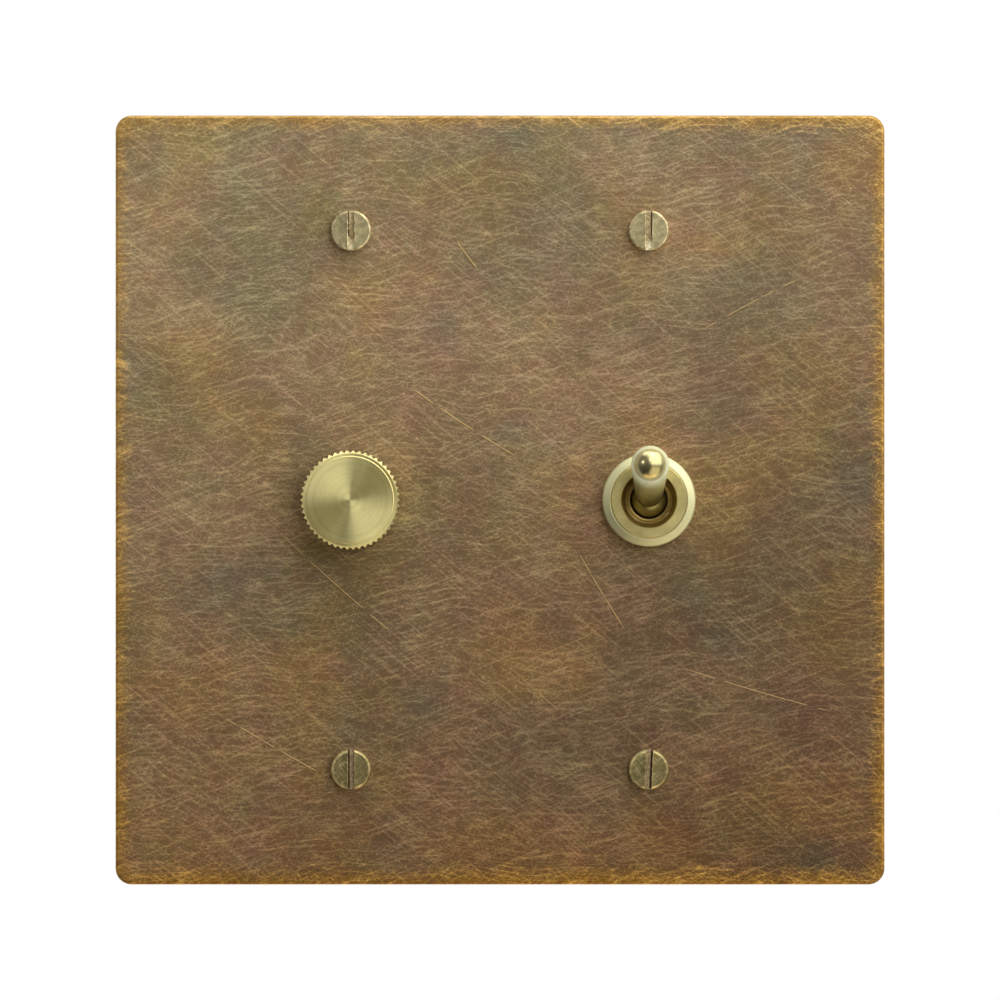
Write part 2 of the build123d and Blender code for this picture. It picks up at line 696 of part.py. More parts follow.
def terminal_seat(i):
    """What is cut from the case for terminal i (-1, 0 or 1): a recess, a screw well and a slot for the leg."""
    half_w, half_h = TERMINAL_W / 2 + TERMINAL_GAP, TERMINAL_H / 2 + TERMINAL_GAP
    recess = block(-half_w, half_w, CASE_BACK - TERMINAL_T, CASE_BACK + CUT, -half_h, half_h)
    seat = Pos(TOGGLE_X, 0, i * TERMINAL_PITCH) * recess
    seat += rod(TOGGLE_X, screw_z(i), TERMINAL_SCREW_WELL_R, CASE_BACK - TERMINAL_SCREW_WELL_D, CASE_BACK)
    leg_half_w = TERMINAL_LEG_W / 2 + TERMINAL_LEG_SLOT_GAP
    leg_half_t = TERMINAL_T / 2 + TERMINAL_LEG_SLOT_GAP
    leg_slot = block(-leg_half_w, leg_half_w, CASE_FLOOR - CUT, CASE_BACK, -leg_half_t, leg_half_t)
    return seat + Pos(TOGGLE_X, 0, leg_z(i)) * leg_slot


def toggle_case():
    """Moulded body with a cavity for the contacts, side notches for the frame's tabs, and three terminal seats."""
    case = prism(TOGGLE_X, 0, RectangleRounded(CASE_W, FRAME_H, CASE_CORNER_R), CASE_FRONT + SEAT, CASE_BACK)
    case = chamfer(case.faces().sort_by(Axis.Y)[-1].edges(), CASE_CHAMFER)
    cavity = RectangleRounded(CAVITY_W, CAVITY_H, CAVITY_CORNER_R)
    case -= prism(TOGGLE_X, 0, cavity, CASE_FRONT - CUT, CASE_FLOOR)
    notch_front = FRAME_EAR_END - FRAME_TAB_T - 2 * CLEAR
    notch_back = FRAME_EAR_END + 2 * CLEAR
    notch_half = FRAME_TAB_HALF + TAB_NOTCH_GAP
    for side in (-1, 1):
        x_in = TOGGLE_X + side * (CASE_W / 2 - TAB_NOTCH_D)
        x_out = TOGGLE_X + side * (CASE_W / 2 + CUT)
        for z in (-FRAME_TAB_Z, FRAME_TAB_Z):
            case -= block(x_in, x_out, notch_front, notch_back, z - notch_half, z + notch_half)
    for i in (-1, 0, 1):
        case -= terminal_seat(i)
    half_w, half_t = BARRIER_W / 2, BARRIER_T / 2
    barrier = block(-half_w, half_w, CASE_BACK - 1, CASE_BACK + BARRIER_H, -half_t, half_t)
    for z in (-TERMINAL_PITCH / 2, TERMINAL_PITCH / 2):
        case += Pos(TOGGLE_X, 0, z) * barrier
    return case


def leg_z(i):
    """Height at which terminal i (-1, 0 or 1) passes through the case."""
    return -2.6 if i == 0 else i * (TERMINAL_PITCH + 2.0)


def screw_z(i):
    """Height of terminal i's screw."""
    return 1.0 if i == 0 else i * (TERMINAL_PITCH - 0.6)


def terminal_plate(i):
    """The flat outer part of a terminal, let into the back of the case, with its screw hole."""
    z = i * TERMINAL_PITCH
    y0 = CASE_BACK - TERMINAL_T + SEAT
    half_w, half_h = TERMINAL_W / 2, TERMINAL_H / 2
    plate = block(TOGGLE_X - half_w, TOGGLE_X + half_w, y0, CASE_BACK, z - half_h, z + half_h)
    return plate - rod(TOGGLE_X, screw_z(i), TERMINAL_HOLE_R, y0 - CUT, CASE_BACK + CUT)


def terminal_leg(i, y0):
    """The strip of terminal i that runs from depth y0 out through the case."""
    half_w, half_t = TERMINAL_LEG_W / 2, TERMINAL_T / 2
    return block(TOGGLE_X - half_w, TOGGLE_X + half_w, y0, CASE_BACK, leg_z(i) - half_t, leg_z(i) + half_t)


def contact_face_y():
    """Depth of the front face of a fixed contact: where the lower moving contact rests."""
    tilt = radians(ROCKER_TILT)
    return ROCKER_Y + CONTACT_BACK * cos(tilt) + (CONTACT_Z + CONTACT_R) * sin(tilt) + CLEAR


def common_terminal():
    """Middle terminal: outer plate, leg through the case, and a forked cradle that carries the rocker's pin."""
    part = terminal_plate(0) + terminal_leg(0, CRADLE_Y)
    half_w = CRADLE_W / 2
    cradle_back = CRADLE_Y + TERMINAL_T
    part += block(TOGGLE_X - half_w, TOGGLE_X + half_w, CRADLE_Y, cradle_back, CRADLE_BOTTOM, CRADLE_TOP)
    for side in (-1, 1):
        x0 = TOGGLE_X + side * (half_w - TERMINAL_T)
        x1 = TOGGLE_X + side * half_w
        part += block(x0, x1, ROCKER_Y - FORK_RISE, CRADLE_Y + 0.2, -FORK_HALF, FORK_HALF)
    return part - Pos(TOGGLE_X, ROCKER_Y, 0) * Rot(0, 90, 0) * Cylinder(ROCKER_PIN_R + SEAT, CRADLE_W + 5 * CUT)


def throw_terminals():
    """The two outer terminals, each with a pad under its fixed contact."""
    pad_y = contact_face_y() + CONTACT_T + SEAT
    half_w = TERMINAL_LEG_W / 2
    solids = []
    for i in (-1, 1):
        part = terminal_plate(i) + terminal_leg(i, pad_y)
        part += block(TOGGLE_X - half_w, TOGGLE_X + half_w, pad_y, pad_y + TERMINAL_T, i * (CONTACT_Z - 2), leg_z(i))
        solids.extend(part.solids())
    return Compound(solids)


def fixed_contacts():
    y0 = contact_face_y()
    return Compound([rod(TOGGLE_X, i * CONTACT_Z, CONTACT_R, y0, y0 + CONTACT_T) for i in (-1, 1)])


def rocker_place():
    """Takes a shape built round a level rocker, pivot at the origin, to its rest tilt: lower arm back."""
    return Pos(TOGGLE_X, ROCKER_Y, 0) * Rot(ROCKER_TILT, 0, 0)


def rocker_side():
    """Work plane on the rocker's left side. Its local x is the row's Z and its local y points to the room."""
    return Plane(origin=(-ROCKER_W / 2, 0, 0), x_dir=(0, 0, 1), z_dir=(1, 0, 0))


def rocker_outline():
    """Side view of the strip: the cup in the middle and a joggled arm either way."""
    lip, shoulder, bend = CUP_HALF, CUP_HALF + CUP_SHOULDER, ARM_REACH - ARM_FLAT
    back_lip, back_bend = CUP_HALF + 0.3, bend - 0.4
    upper_front = [(lip, -CUP_LIP), (shoulder, -CUP_LIP), (bend, -ARM_FRONT), (ARM_REACH, -ARM_FRONT)]
    upper_back = [(ARM_REACH, -ARM_BACK), (back_bend, -ARM_BACK), (back_lip, -CUP_LIP - ROCKER_T)]
    upper = upper_front + upper_back
    lower = [(-u, v) for u, v in upper]
    edges = [ThreePointArc(lower[0], (0, -CUP_FRONT), upper[0])]
    edges += [Line(upper[i], upper[i + 1]) for i in range(len(upper) - 1)]
    edges += [ThreePointArc(upper[-1], (0, -CUP_FRONT - ROCKER_T), lower[-1])]
    edges += [Line(lower[i + 1], lower[i]) for i in reversed(range(len(lower) - 1))]
    return Curve() + edges


def contact_rocker():
    """See-saw contact arm: a cup that the plunger rides in, two arms, and two knuckles on the pivot pin."""
    half = ROCKER_W / 2
    arm = extrude(rocker_side() * make_face(rocker_outline()), amount=ROCKER_W)
    pin_hole = Rot(0, 90, 0) * Cylinder(ROCKER_PIN_R + CLEAR, ROCKER_W + 7 * CUT)
    knuckle_x = half - KNUCKLE_T / 2
    for x in (-knuckle_x, knuckle_x):
        arm += block(x - KNUCKLE_T / 2, x + KNUCKLE_T / 2, -0.4, 0.4, -KNUCKLE_R, KNUCKLE_R)
        arm += Pos(x, KNUCKLE_Y, 0) * Rot(0, 90, 0) * Cylinder(KNUCKLE_R, KNUCKLE_T)
    return rocker_place() * (arm - pin_hole)


def moving_contacts():
    buttons = [rod(0, i * CONTACT_Z, CONTACT_R - 0.1, ARM_BACK + SEAT, CONTACT_BACK) for i in (-1, 1)]
    return Compound([rocker_place() * button for button in buttons])


def rocker_pin():
    return Pos(TOGGLE_X, ROCKER_Y, 0) * Rot(0, 90, 0) * Cylinder(ROCKER_PIN_R, ROCKER_PIN_L)


def slotted_screw(x, z, y_seat, head_r, head_t, shank_r, length):
    """A pan-head screw whose head sits behind y_seat, with a level slot."""
    y_back = y_seat + head_t
    head = turned(
        x,
        z,
        (0, y_seat),
        (head_r, y_seat),
        (head_r, y_seat + head_t * PAN_CROWN_START),
        (head_r - PAN_EDGE, y_back),
        (0, y_back),
    )
    shank = rod(x, z, shank_r, y_seat - length, y_seat)
    y_slot = y_seat + head_t * PAN_SLOT_FLOOR
    reach = head_r + CUT
    slot = block(x - reach, x + reach, y_slot, y_back + CUT, z - PAN_SLOT_HALF, z + PAN_SLOT_HALF)
    return head + shank - slot


def terminal_screws():
    y_seat = CASE_BACK + SEAT
    size = (TERMINAL_SCREW_HEAD_R, TERMINAL_SCREW_HEAD_T, TERMINAL_SCREW_R, TERMINAL_SCREW_L)
    return Compound([slotted_screw(TOGGLE_X, screw_z(i), y_seat, *size) for i in (-1, 0, 1)])


def ground_screw():
    size = (GROUND_SCREW_HEAD_R, GROUND_SCREW_HEAD_T, GROUND_SCREW_R, GROUND_SCREW_L)
    return slotted_screw(TOGGLE_X, GROUND_SCREW_Z, FRAME_BACK + SEAT, *size)


# ---------------------------------------------------------------- dimmer


def knob_teeth():
    """Star outline of the straight knurl."""
    points = []
    for i in range(KNOB_TEETH):
        for r, offset in ((KNOB_TIP_R, 0.0), (KNOB_ROOT_R, 0.5)):
            a = 2 * pi * (i + offset) / KNOB_TEETH
            points.append((r * cos(a), r * sin(a)))
    return make_face(Polyline(*points, close=True))


def dimmer_knob():
    """Straight-knurled brass knob with a raised front disc, hollow behind to clear the nut."""
    shoulder = KNOB_FRONT + KNOB_STEP
    body = prism(DIMMER_X, 0, knob_teeth(), shoulder, KNOB_BACK)
    end_r, full_r = KNOB_ROOT_R - 0.05, KNOB_TIP_R + 0.1
    chamfer_l = KNOB_CHAMFER + 0.2
    body &= turned(
        DIMMER_X,
        0,
        (0, shoulder),
        (end_r, shoulder),
        (full_r, shoulder + chamfer_l),
        (full_r, KNOB_BACK - chamfer_l),
        (end_r, KNOB_BACK),
        (0, KNOB_BACK),
    )
    disc = rod(DIMMER_X, 0, KNOB_DISC_R, KNOB_FRONT, shoulder + 0.2)
    body += fillet(disc.faces().sort_by(Axis.Y)[0].edges(), KNOB_DISC_EDGE_R)
    body -= rod(DIMMER_X, 0, KNOB_RECESS_R, KNOB_RECESS_END, KNOB_BACK + CUT)
    body -= rod(DIMMER_X, 0, SHAFT_R + SEAT, SHAFT_FRONT - 0.2, KNOB_BACK)
    grub_bore_l = KNOB_TIP_R + 2.34
    return body - Pos(DIMMER_X, GRUB_Y, -grub_bore_l / 2) * Cylinder(GRUB_R, grub_bore_l)


def knob_grub_screw():
    """Socket set screw that bears on the shaft's flat."""
    top, bottom = -SHAFT_FLAT - SEAT, -KNOB_ROOT_R + GRUB_INSET
    grub = Pos(0, 0, (top + bottom) / 2) * Cylinder(GRUB_R - SEAT, top - bottom)
    socket = Pos(0, 0, bottom) * extrude(hexagon(GRUB_SOCKET_AF), amount=GRUB_SOCKET_D)
    return Pos(DIMMER_X, GRUB_Y, 0) * (grub - socket)


def flatted(r, flat):
    """A circle cut by a flat at the given distance below its centre."""
    return Circle(r) - Pos(0, flat + r) * Rectangle(4 * r, 2 * r)


def dimmer_shaft():
    """D-section shaft with a clip groove and a rounded rear end that works the push switch."""
    shaft = prism(DIMMER_X, 0, flatted(SHAFT_R, SHAFT_FLAT), SHAFT_FRONT, SHAFT_BACK)
    full_r = SHAFT_R + 0.1
    shaft &= turned(
        DIMMER_X,
        0,
        (0, SHAFT_FRONT),
        (SHAFT_R - SHAFT_TIP_CHAMFER, SHAFT_FRONT),
        (full_r, SHAFT_FRONT + SHAFT_TIP_CHAMFER + 0.1),
        (full_r, SHAFT_BACK - SHAFT_END_L),
        (SHAFT_END_R, SHAFT_BACK),
        (0, SHAFT_BACK),
    )
    groove = rod(DIMMER_X, 0, SHAFT_R + 2 * CUT, CLIP_Y - SEAT, CLIP_Y + CLIP_T + SEAT)
    groove -= rod(DIMMER_X, 0, CLIP_GROOVE_R, CLIP_Y - CUT, CLIP_Y + CLIP_T + CUT)
    return shaft - groove


def shaft_clip():
    """E-shaped retaining ring behind the neck."""
    y0, y1 = CLIP_Y - CUT, CLIP_Y + CLIP_T + CUT
    clip = rod(DIMMER_X, 0, CLIP_R, CLIP_Y, CLIP_Y + CLIP_T) - rod(DIMMER_X, 0, CLIP_GROOVE_R + SEAT, y0, y1)
    return clip - block(DIMMER_X - CLIP_MOUTH_HALF, DIMMER_X + CLIP_MOUTH_HALF, y0, y1, 0, CLIP_R + CUT)


def sector(r_in, r_out, half_angle, middle):
    """Part of a ring, centred on an angle clockwise from straight down as seen from the room."""
    reach = 2 * r_out
    half = reach * tan(radians(half_angle))
    wedge = Polyline((0, 0), (reach, -half), (reach, half), close=True)
    return Rot(0, 0, 90 + middle) * (make_face(wedge) & (Circle(r_out) - Circle(r_in)))


def dimmer_neck():
    """Threaded die-cast neck and flange that guide the shaft, with the stop that limits its turn."""
    thread_start, thread_end = NECK_FRONT + NECK_CHAMFER + 0.1, CHASSIS_BACK - 0.4
    neck = turned(
        DIMMER_X,
        0,
        (NECK_R - NECK_CHAMFER, NECK_FRONT),
        (NECK_R, NECK_FRONT + NECK_CHAMFER),
        *rings(NECK_R, NECK_ROOT_R, thread_start, thread_end, NECK_PITCH),
        (NECK_ROOT_R, CHASSIS_BACK + SEAT),
        (NECK_FLANGE_R, CHASSIS_BACK + SEAT),
        (NECK_FLANGE_R, NECK_FLANGE_BACK),
        (SHAFT_R + CLEAR, NECK_FLANGE_BACK),
        (SHAFT_R + CLEAR, NECK_FRONT),
    )
    stop = sector(STOP_R_IN, STOP_R_OUT, STOP_HALF_ANGLE, 0)
    return neck + prism(DIMMER_X, 0, stop, NECK_FLANGE_BACK - 0.2, ROTOR_BACK)


def dimmer_front_nut():
    y0, y1 = FRONT - SEAT - FRONT_NUT_T, FRONT - SEAT
    nut = prism(DIMMER_X, 0, hexagon(FRONT_NUT_AF), y0, y1)
    nut &= rod(DIMMER_X, 0, FRONT_NUT_CORNER_R, y0, y1)
    return nut - rod(DIMMER_X, 0, NECK_R + SEAT, y0 - CUT, y1 + CUT)


def dimmer_star_washer():
    thickness = STAR_WASHER_T - 2 * SEAT
    return toothed_washer(DIMMER_X, BACK + SEAT, thickness, NECK_R + CLEAR, STAR_WASHER_R, STAR_WASHER_TEETH)


def boss_places():
    return [(DIMMER_X + i * BOSS_X, j * BOSS_Z) for i in (-1, 1) for j in (-1, 1)]


def dimmer_chassis():
    """Folded aluminium heat-sink: a face behind the plate and two notched side flanges."""
    face = RectangleRounded(CHASSIS_W, CHASSIS_H, CHASSIS_CORNER_R)
    chassis = prism(DIMMER_X, 0, face, CHASSIS_FRONT, CHASSIS_BACK)
    half = CHASSIS_W / 2
    for side in (-1, 1):
        outer, inner = DIMMER_X + side * half, DIMMER_X + side * (half - CHASSIS_T)
        flange = block(inner, outer, CHASSIS_FRONT + 0.4, FLANGE_DEPTH, -FLANGE_HALF, FLANGE_HALF)
        for i in range(-2, 3):
            low = i * FLANGE_NOTCH_PITCH - FLANGE_NOTCH_HALF
            high = i * FLANGE_NOTCH_PITCH + FLANGE_NOTCH_HALF
            flange -= block(inner - 2, outer + 2, FLANGE_NOTCH_START, FLANGE_DEPTH + CUT, low, high)
        chassis += flange
    chassis -= rod(DIMMER_X, 0, NECK_R + 2 * CLEAR, CHASSIS_FRONT - CUT, CHASSIS_BACK + CUT)
    for x, z in boss_places():
        chassis -= rod(x, z, CHASSIS_SCREW_HOLE_R, CHASSIS_FRONT - CUT, CHASSIS_BACK + CUT)
    return chassis - rod(DIMMER_X, TRIAC_HOLE_Z, TRIAC_SCREW_R + 2 * CLEAR, CHASSIS_FRONT - CUT, CHASSIS_BACK + CUT)


def dimmer_case():
    """Moulded rear cover: a shell with four screw bosses, cooling slots and a lead outlet."""
    front = CHASSIS_BACK + SEAT
    floor = DCASE_BACK - DCASE_WALL
    case = prism(DIMMER_X, 0, RectangleRounded(DCASE_W, DCASE_H, DCASE_CORNER_R), front, DCASE_BACK)
    case = fillet(case.faces().sort_by(Axis.Y)[-1].edges(), DCASE_EDGE_R)
    hollow = RectangleRounded(DCASE_W - 2 * DCASE_WALL, DCASE_H - 2 * DCASE_WALL, DCASE_CORNER_R / 2)
    case -= prism(DIMMER_X, 0, hollow, front - CUT, floor)
    for x, z in boss_places():
        case += rod(x, z, BOSS_R, front, DCASE_BACK - 1)
    for x, z in boss_places():
        case -= rod(x, z, BOSS_BORE_R, front - CUT, DCASE_BACK + CUT)
        case -= rod(x, z, CASE_SCREW_WELL_R, DCASE_BACK - CASE_SCREW_WELL_D, DCASE_BACK + CUT)
    for i in range(VENT_COUNT):
        vent = RectangleRounded(VENT_W, VENT_H, VENT_H / 2 - CLEAR)
        case -= prism(DIMMER_X, VENT_BOTTOM + i * VENT_PITCH, vent, floor - CUT, DCASE_BACK + CUT)
    outlet = RectangleRounded(OUTLET_W, OUTLET_H, OUTLET_CORNER_R)
    return case - prism(DIMMER_X, LEAD_Z, outlet, floor - CUT, DCASE_BACK + CUT)


def case_screws():
    y_seat = DCASE_BACK - CASE_SCREW_WELL_D + SEAT
    length = y_seat - CHASSIS_FRONT - 0.2
    size = (CASE_SCREW_HEAD_R, CASE_SCREW_HEAD_T, CASE_SCREW_R, length)
    return Compound([slotted_screw(x, z, y_seat, *size) for x, z in boss_places()])


def lead_grommet():
    """Rubber sleeve in the case's lead outlet."""
    neck = RectangleRounded(OUTLET_W - SLEEVE_GAP, OUTLET_H - SLEEVE_GAP, OUTLET_CORNER_R)
    lip = RectangleRounded(OUTLET_W + 2 * SLEEVE_LIP, OUTLET_H + 2 * SLEEVE_LIP - 0.4, SLEEVE_LIP_CORNER_R)
    sleeve = prism(DIMMER_X, LEAD_Z, neck, DCASE_BACK - DCASE_WALL + SEAT, DCASE_BACK + 0.5)
    sleeve += prism(DIMMER_X, LEAD_Z, lip, DCASE_BACK + SEAT, DCASE_BACK + SLEEVE_LIP_T)
    for i in (-1, 0, 1):
        x = DIMMER_X + i * LEAD_PITCH
        sleeve -= rod(x, LEAD_Z, LEAD_R + SEAT, DCASE_BACK - 4 * CUT, DCASE_BACK + 4 * CUT)
    return sleeve


def lead_path(i):
    """Points on the centre line of lead i (-1, 0 or 1): its start, the outlet and its end."""
    x = DIMMER_X + i * LEAD_PITCH
    start = (x, PCB_BACK + 1, LEAD_Z)
    outlet = (x, DCASE_BACK + 3, LEAD_Z)
    end = (x + i * LEAD_FAN, DCASE_BACK + LEAD_REACH, LEAD_Z - LEAD_DROP)
    return start, outlet, end


def lead(i):
    """Insulated lead: straight out through the sleeve, then sweeping down and away."""
    start, outlet, end = lead_path(i)
    leaving = (outlet[0], outlet[1] + LEAD_REACH / 2, outlet[2])
    arriving = (end[0], end[1], end[2] + COPPER_L)
    path = Curve() + [Line(start, outlet), Bezier(outlet, leaving, arriving, end)]
    return sweep(Plane(origin=start, z_dir=(0, 1, 0)) * Circle(LEAD_R), path=path)


def lead_ends():
    """Bare copper at the end of each lead."""
    ends = []
    for i in (-1, 0, 1):
        _, _, (x, y, z) = lead_path(i)
        ends.append(Pos(x, y, z - COPPER_L / 2 - SEAT) * Cylinder(COPPER_R, COPPER_L))
    return Compound(ends)


def dimmer_pcb():
    board = prism(DIMMER_X, 0, Rectangle(PCB_W, PCB_H), PCB_FRONT, PCB_BACK)
    for x, z in boss_places():
        board -= rod(x, z, BOSS_R + 0.3, PCB_FRONT - CUT, PCB_BACK + CUT)
    for x, z in pot_pin_places():
        board -= rod(x, z, POT_PIN_R + 2 * CLEAR, PCB_FRONT - CUT, PCB_BACK + CUT)
    return board


def pot_pin_places():
    places = []
    for i in (-1, 0, 1):
        a = radians(i * POT_PIN_STEP)
        places.append((DIMMER_X + POT_PIN_PITCH_R * sin(a), POT_PIN_PITCH_R * cos(a)))
    return places


def pot_can():
    """Thin metal can that closes the potentiometer."""
    front = CHASSIS_BACK + 0.3
    can = rod(DIMMER_X, 0, POT_CAN_R, front, POT_BACK)
    can -= rod(DIMMER_X, 0, POT_CAN_R - POT_CAN_T, front - CUT, POT_BACK - POT_CAN_T)
    can -= rod(DIMMER_X, 0, POT_BORE_R, front - CUT, POT_BACK + CUT)
    for x, z in pot_pin_places():
        can -= rod(x, z, POT_PIN_R + 5 * CLEAR, POT_BACK - 2 * CUT, POT_BACK + CUT)
    return can


def pot_track():
    """Ring that carries the resistive track."""
    ring = rod(DIMMER_X, 0, POT_CAN_R - POT_CAN_T - SEAT, TRACK_FRONT, TRACK_FRONT + TRACK_T)
    return ring - rod(DIMMER_X, 0, POT_BORE_R, TRACK_FRONT - CUT, TRACK_FRONT + TRACK_T + CUT)


def pot_pins():
    y0 = TRACK_FRONT + TRACK_T + SEAT
    return Compound([rod(x, z, POT_PIN_R, y0, PCB_BACK + 0.8) for x, z in pot_pin_places()])


def wiper_rotor():
    """Nylon disc that the D-shaft turns but slides through, with a lug that meets the stop."""
    rotor = rod(DIMMER_X, 0, ROTOR_R, ROTOR_FRONT, ROTOR_BACK)
    lug = sector(LUG_R_IN, LUG_R_OUT, LUG_HALF_ANGLE, LUG_REST_ANGLE)
    rotor += prism(DIMMER_X, 0, lug, ROTOR_FRONT, ROTOR_BACK)
    bore = flatted(SHAFT_R + CLEAR, SHAFT_FLAT + CLEAR)
    return rotor - prism(DIMMER_X, 0, bore, ROTOR_FRONT - CUT, ROTOR_BACK + CUT)


def wiper_contact():
    """Sprung brush on the rotor: a flat ring with two raised fingers that brush the track."""
    y0 = ROTOR_BACK + SEAT
    y1 = y0 + BRUSH_T
    brush = rod(DIMMER_X, 0, BRUSH_R_OUT, y0, y1) - rod(DIMMER_X, 0, BRUSH_R_IN, y0 - CUT, y1 + CUT)
    for z in (BRUSH_FINGER_Z1, BRUSH_FINGER_Z2):
        brush += rod(DIMMER_X, z, BRUSH_FINGER_R, y0, TRACK_FRONT - CLEAR)
    return brush


def push_switch_body():
    """Latching push switch on the board, with a bore for its plunger."""
    body = prism(DIMMER_X, 0, RectangleRounded(SWITCH_W, SWITCH_W, SWITCH_CORNER_R), SWITCH_FRONT, PCB_FRONT - SEAT)
    return body - rod(DIMMER_X, 0, BUTTON_R + CLEAR, SWITCH_FRONT - CUT, SWITCH_FLOOR)


def push_plunger():
    return rod(DIMMER_X, 0, BUTTON_R, SHAFT_BACK + CLEAR, BUTTON_BACK)


def push_spring():
    y0, y1 = BUTTON_BACK + CLEAR, SWITCH_FLOOR - CLEAR
    return coil(DIMMER_X, 0, SWITCH_SPRING_R, SWITCH_SPRING_WIRE_R, y0, y1, SWITCH_SPRING_TURNS)


def choke_core():
    y0, y1 = CHOKE_FRONT, CHOKE_FRONT + CHOKE_T
    return rod(DIMMER_X, CHOKE_Z, CHOKE_R_OUT, y0, y1) - rod(DIMMER_X, CHOKE_Z, CHOKE_R_IN, y0 - CUT, y1 + CUT)


def choke_winding():
    """Closed turns of enamelled wire round the core."""
    r0, r1 = CHOKE_R_IN - WINDING_GAP, CHOKE_R_OUT + WINDING_GAP
    y0, y1 = CHOKE_FRONT, CHOKE_FRONT + CHOKE_T
    half = WINDING_T / 2
    turn = block(r0 - WINDING_T, r1 + WINDING_T, y0 - WINDING_T, y1 + WINDING_T, -half, half)
    turn -= block(r0, r1, y0 - SEAT, y1 + SEAT, -CUT, CUT)
    turns = []
    for i in range(WINDING_TURNS):
        turns.append(Pos(DIMMER_X, 0, CHOKE_Z) * Rot(0, i * 360 / WINDING_TURNS, 0) * turn)
    return Compound(turns)


def triac():
    """Power device bolted to the chassis, its three legs bent back to the board."""
    y0 = CHASSIS_BACK + SEAT
    x0, x1 = DIMMER_X - TRIAC_HALF_W, DIMMER_X + TRIAC_HALF_W
    device = block(x0, x1, y0, y0 + TRIAC_TAB_T, TRIAC_Z - TRIAC_TAB_END, TRIAC_Z + 1)
    device += block(x0, x1, y0, y0 + TRIAC_BODY_T, TRIAC_Z - TRIAC_BODY_BOTTOM, TRIAC_Z + TRIAC_BODY_TOP)
    device -= rod(DIMMER_X, TRIAC_HOLE_Z, TRIAC_HOLE_R, y0 - CUT, y0 + TRIAC_TAB_T + CUT)
    leg_front = y0 + TRIAC_LEG_Y
    leg_bend = TRIAC_Z + TRIAC_BODY_TOP
    for i in (-1, 0, 1):
        left = DIMMER_X + TRIAC_LEG_PITCH * i - TRIAC_LEG_HALF
        right = left + 2 * TRIAC_LEG_HALF
        device += block(left, right, leg_front, leg_front + TRIAC_LEG_T, TRIAC_Z - 2, leg_bend + 0.4)
        device += block(left, right, leg_front, PCB_FRONT - SEAT, leg_bend, leg_bend + TRIAC_LEG_T)
    return device


def triac_screw():
    y_seat = CHASSIS_BACK + TRIAC_TAB_T + 2 * SEAT
    length = y_seat - CHASSIS_FRONT - 0.1
    return slotted_screw(
        DIMMER_X, TRIAC_HOLE_Z, y_seat, TRIAC_SCREW_HEAD_R, TRIAC_SCREW_HEAD_T, TRIAC_SCREW_R, length
    )


def suppression_capacitor():
    x0, x1 = DIMMER_X - CAPACITOR_HALF_W, DIMMER_X + CAPACITOR_HALF_W
    body = block(x0, x1, CAPACITOR_FRONT, PCB_FRONT - SEAT, CAPACITOR_BOTTOM, CAPACITOR_TOP)
    return fillet(body.edges(), CAPACITOR_EDGE_R)


def fuse():
    """Axial fuse lying on the back of the board."""
    y = PCB_BACK + FUSE_CAP_R + 0.2
    link = Pos(DIMMER_X, y, FUSE_Z) * Rot(0, 90, 0) * Cylinder(FUSE_R, FUSE_L)
    for x in (DIMMER_X - FUSE_CAP_X, DIMMER_X + FUSE_CAP_X):
        link += Pos(x, y, FUSE_Z) * Rot(0, 90, 0) * Cylinder(FUSE_CAP_R, FUSE_CAP_L)
    return link


PIECES = {
    "face_plate": face_plate,
    "plate_screws": plate_screws,
    "earth_stud": earth_stud,
    "earth_washer": earth_washer,
    "earth_nut": earth_nut,
    "toggle_bushing": toggle_bushing,
    "toggle_dress_nut": toggle_dress_nut,
    "locating_ring": locating_ring,
    "toggle_lock_washer": toggle_lock_washer,
    "toggle_back_nut": toggle_back_nut,
    "toggle_lever": toggle_lever,
    "lever_pin": lever_pin,
    "lever_plunger": lever_plunger,
    "lever_spring": lever_spring,
    "toggle_frame": toggle_frame,
    "toggle_case": toggle_case,
    "common_terminal": common_terminal,
    "throw_terminals": throw_terminals,
    "fixed_contacts": fixed_contacts,
    "contact_rocker": contact_rocker,
    "moving_contacts": moving_contacts,
    "rocker_pin": rocker_pin,
    "terminal_screws": terminal_screws,
    "ground_screw": ground_screw,
    "dimmer_knob": dimmer_knob,
    "knob_grub_screw": knob_grub_screw,
    "dimmer_shaft": dimmer_shaft,
    "shaft_clip": shaft_clip,
    "dimmer_neck": dimmer_neck,
    "dimmer_front_nut": dimmer_front_nut,
    "dimmer_star_washer": dimmer_star_washer,
    "dimmer_chassis": dimmer_chassis,
    "dimmer_case": dimmer_case,
    "case_screws": case_screws,
    "lead_grommet": lead_grommet,
    "lead_live": lambda: lead(-1),
    "lead_load": lambda: lead(0),
    "lead_earth": lambda: lead(1),
    "lead_ends": lead_ends,
    "dimmer_pcb": dimmer_pcb,
    "pot_can": pot_can,
    "pot_track": pot_track,
    "pot_pins": pot_pins,
    "wiper_rotor": wiper_rotor,
    "wiper_contact": wiper_contact,
    "push_switch_body": push_switch_body,
    "push_plunger": push_plunger,
    "push_spring": push_spring,
    "choke_core": choke_core,
    "choke_winding": choke_winding,
    "triac": triac,
    "triac_screw": triac_screw,
    "suppression_capacitor": suppression_capacitor,
    "fuse": fuse,
}

os.makedirs("parts", exist_ok=True)
for name, make in PIECES.items():
    export_step(make(), f"parts/{name}.step")
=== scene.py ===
"""Looks for the brass plate with a dimmer and a toggle switch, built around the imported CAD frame.

Blender works in metres, in the frame of the CAD: +X right and +Z up as seen from the room, +Y into the wall.
Node graphs work in millimetres, from the object's own coordinates, so a pattern moves with its piece.
"""

import json
import random
from math import acos, cos, hypot, pi, radians, sin, sqrt

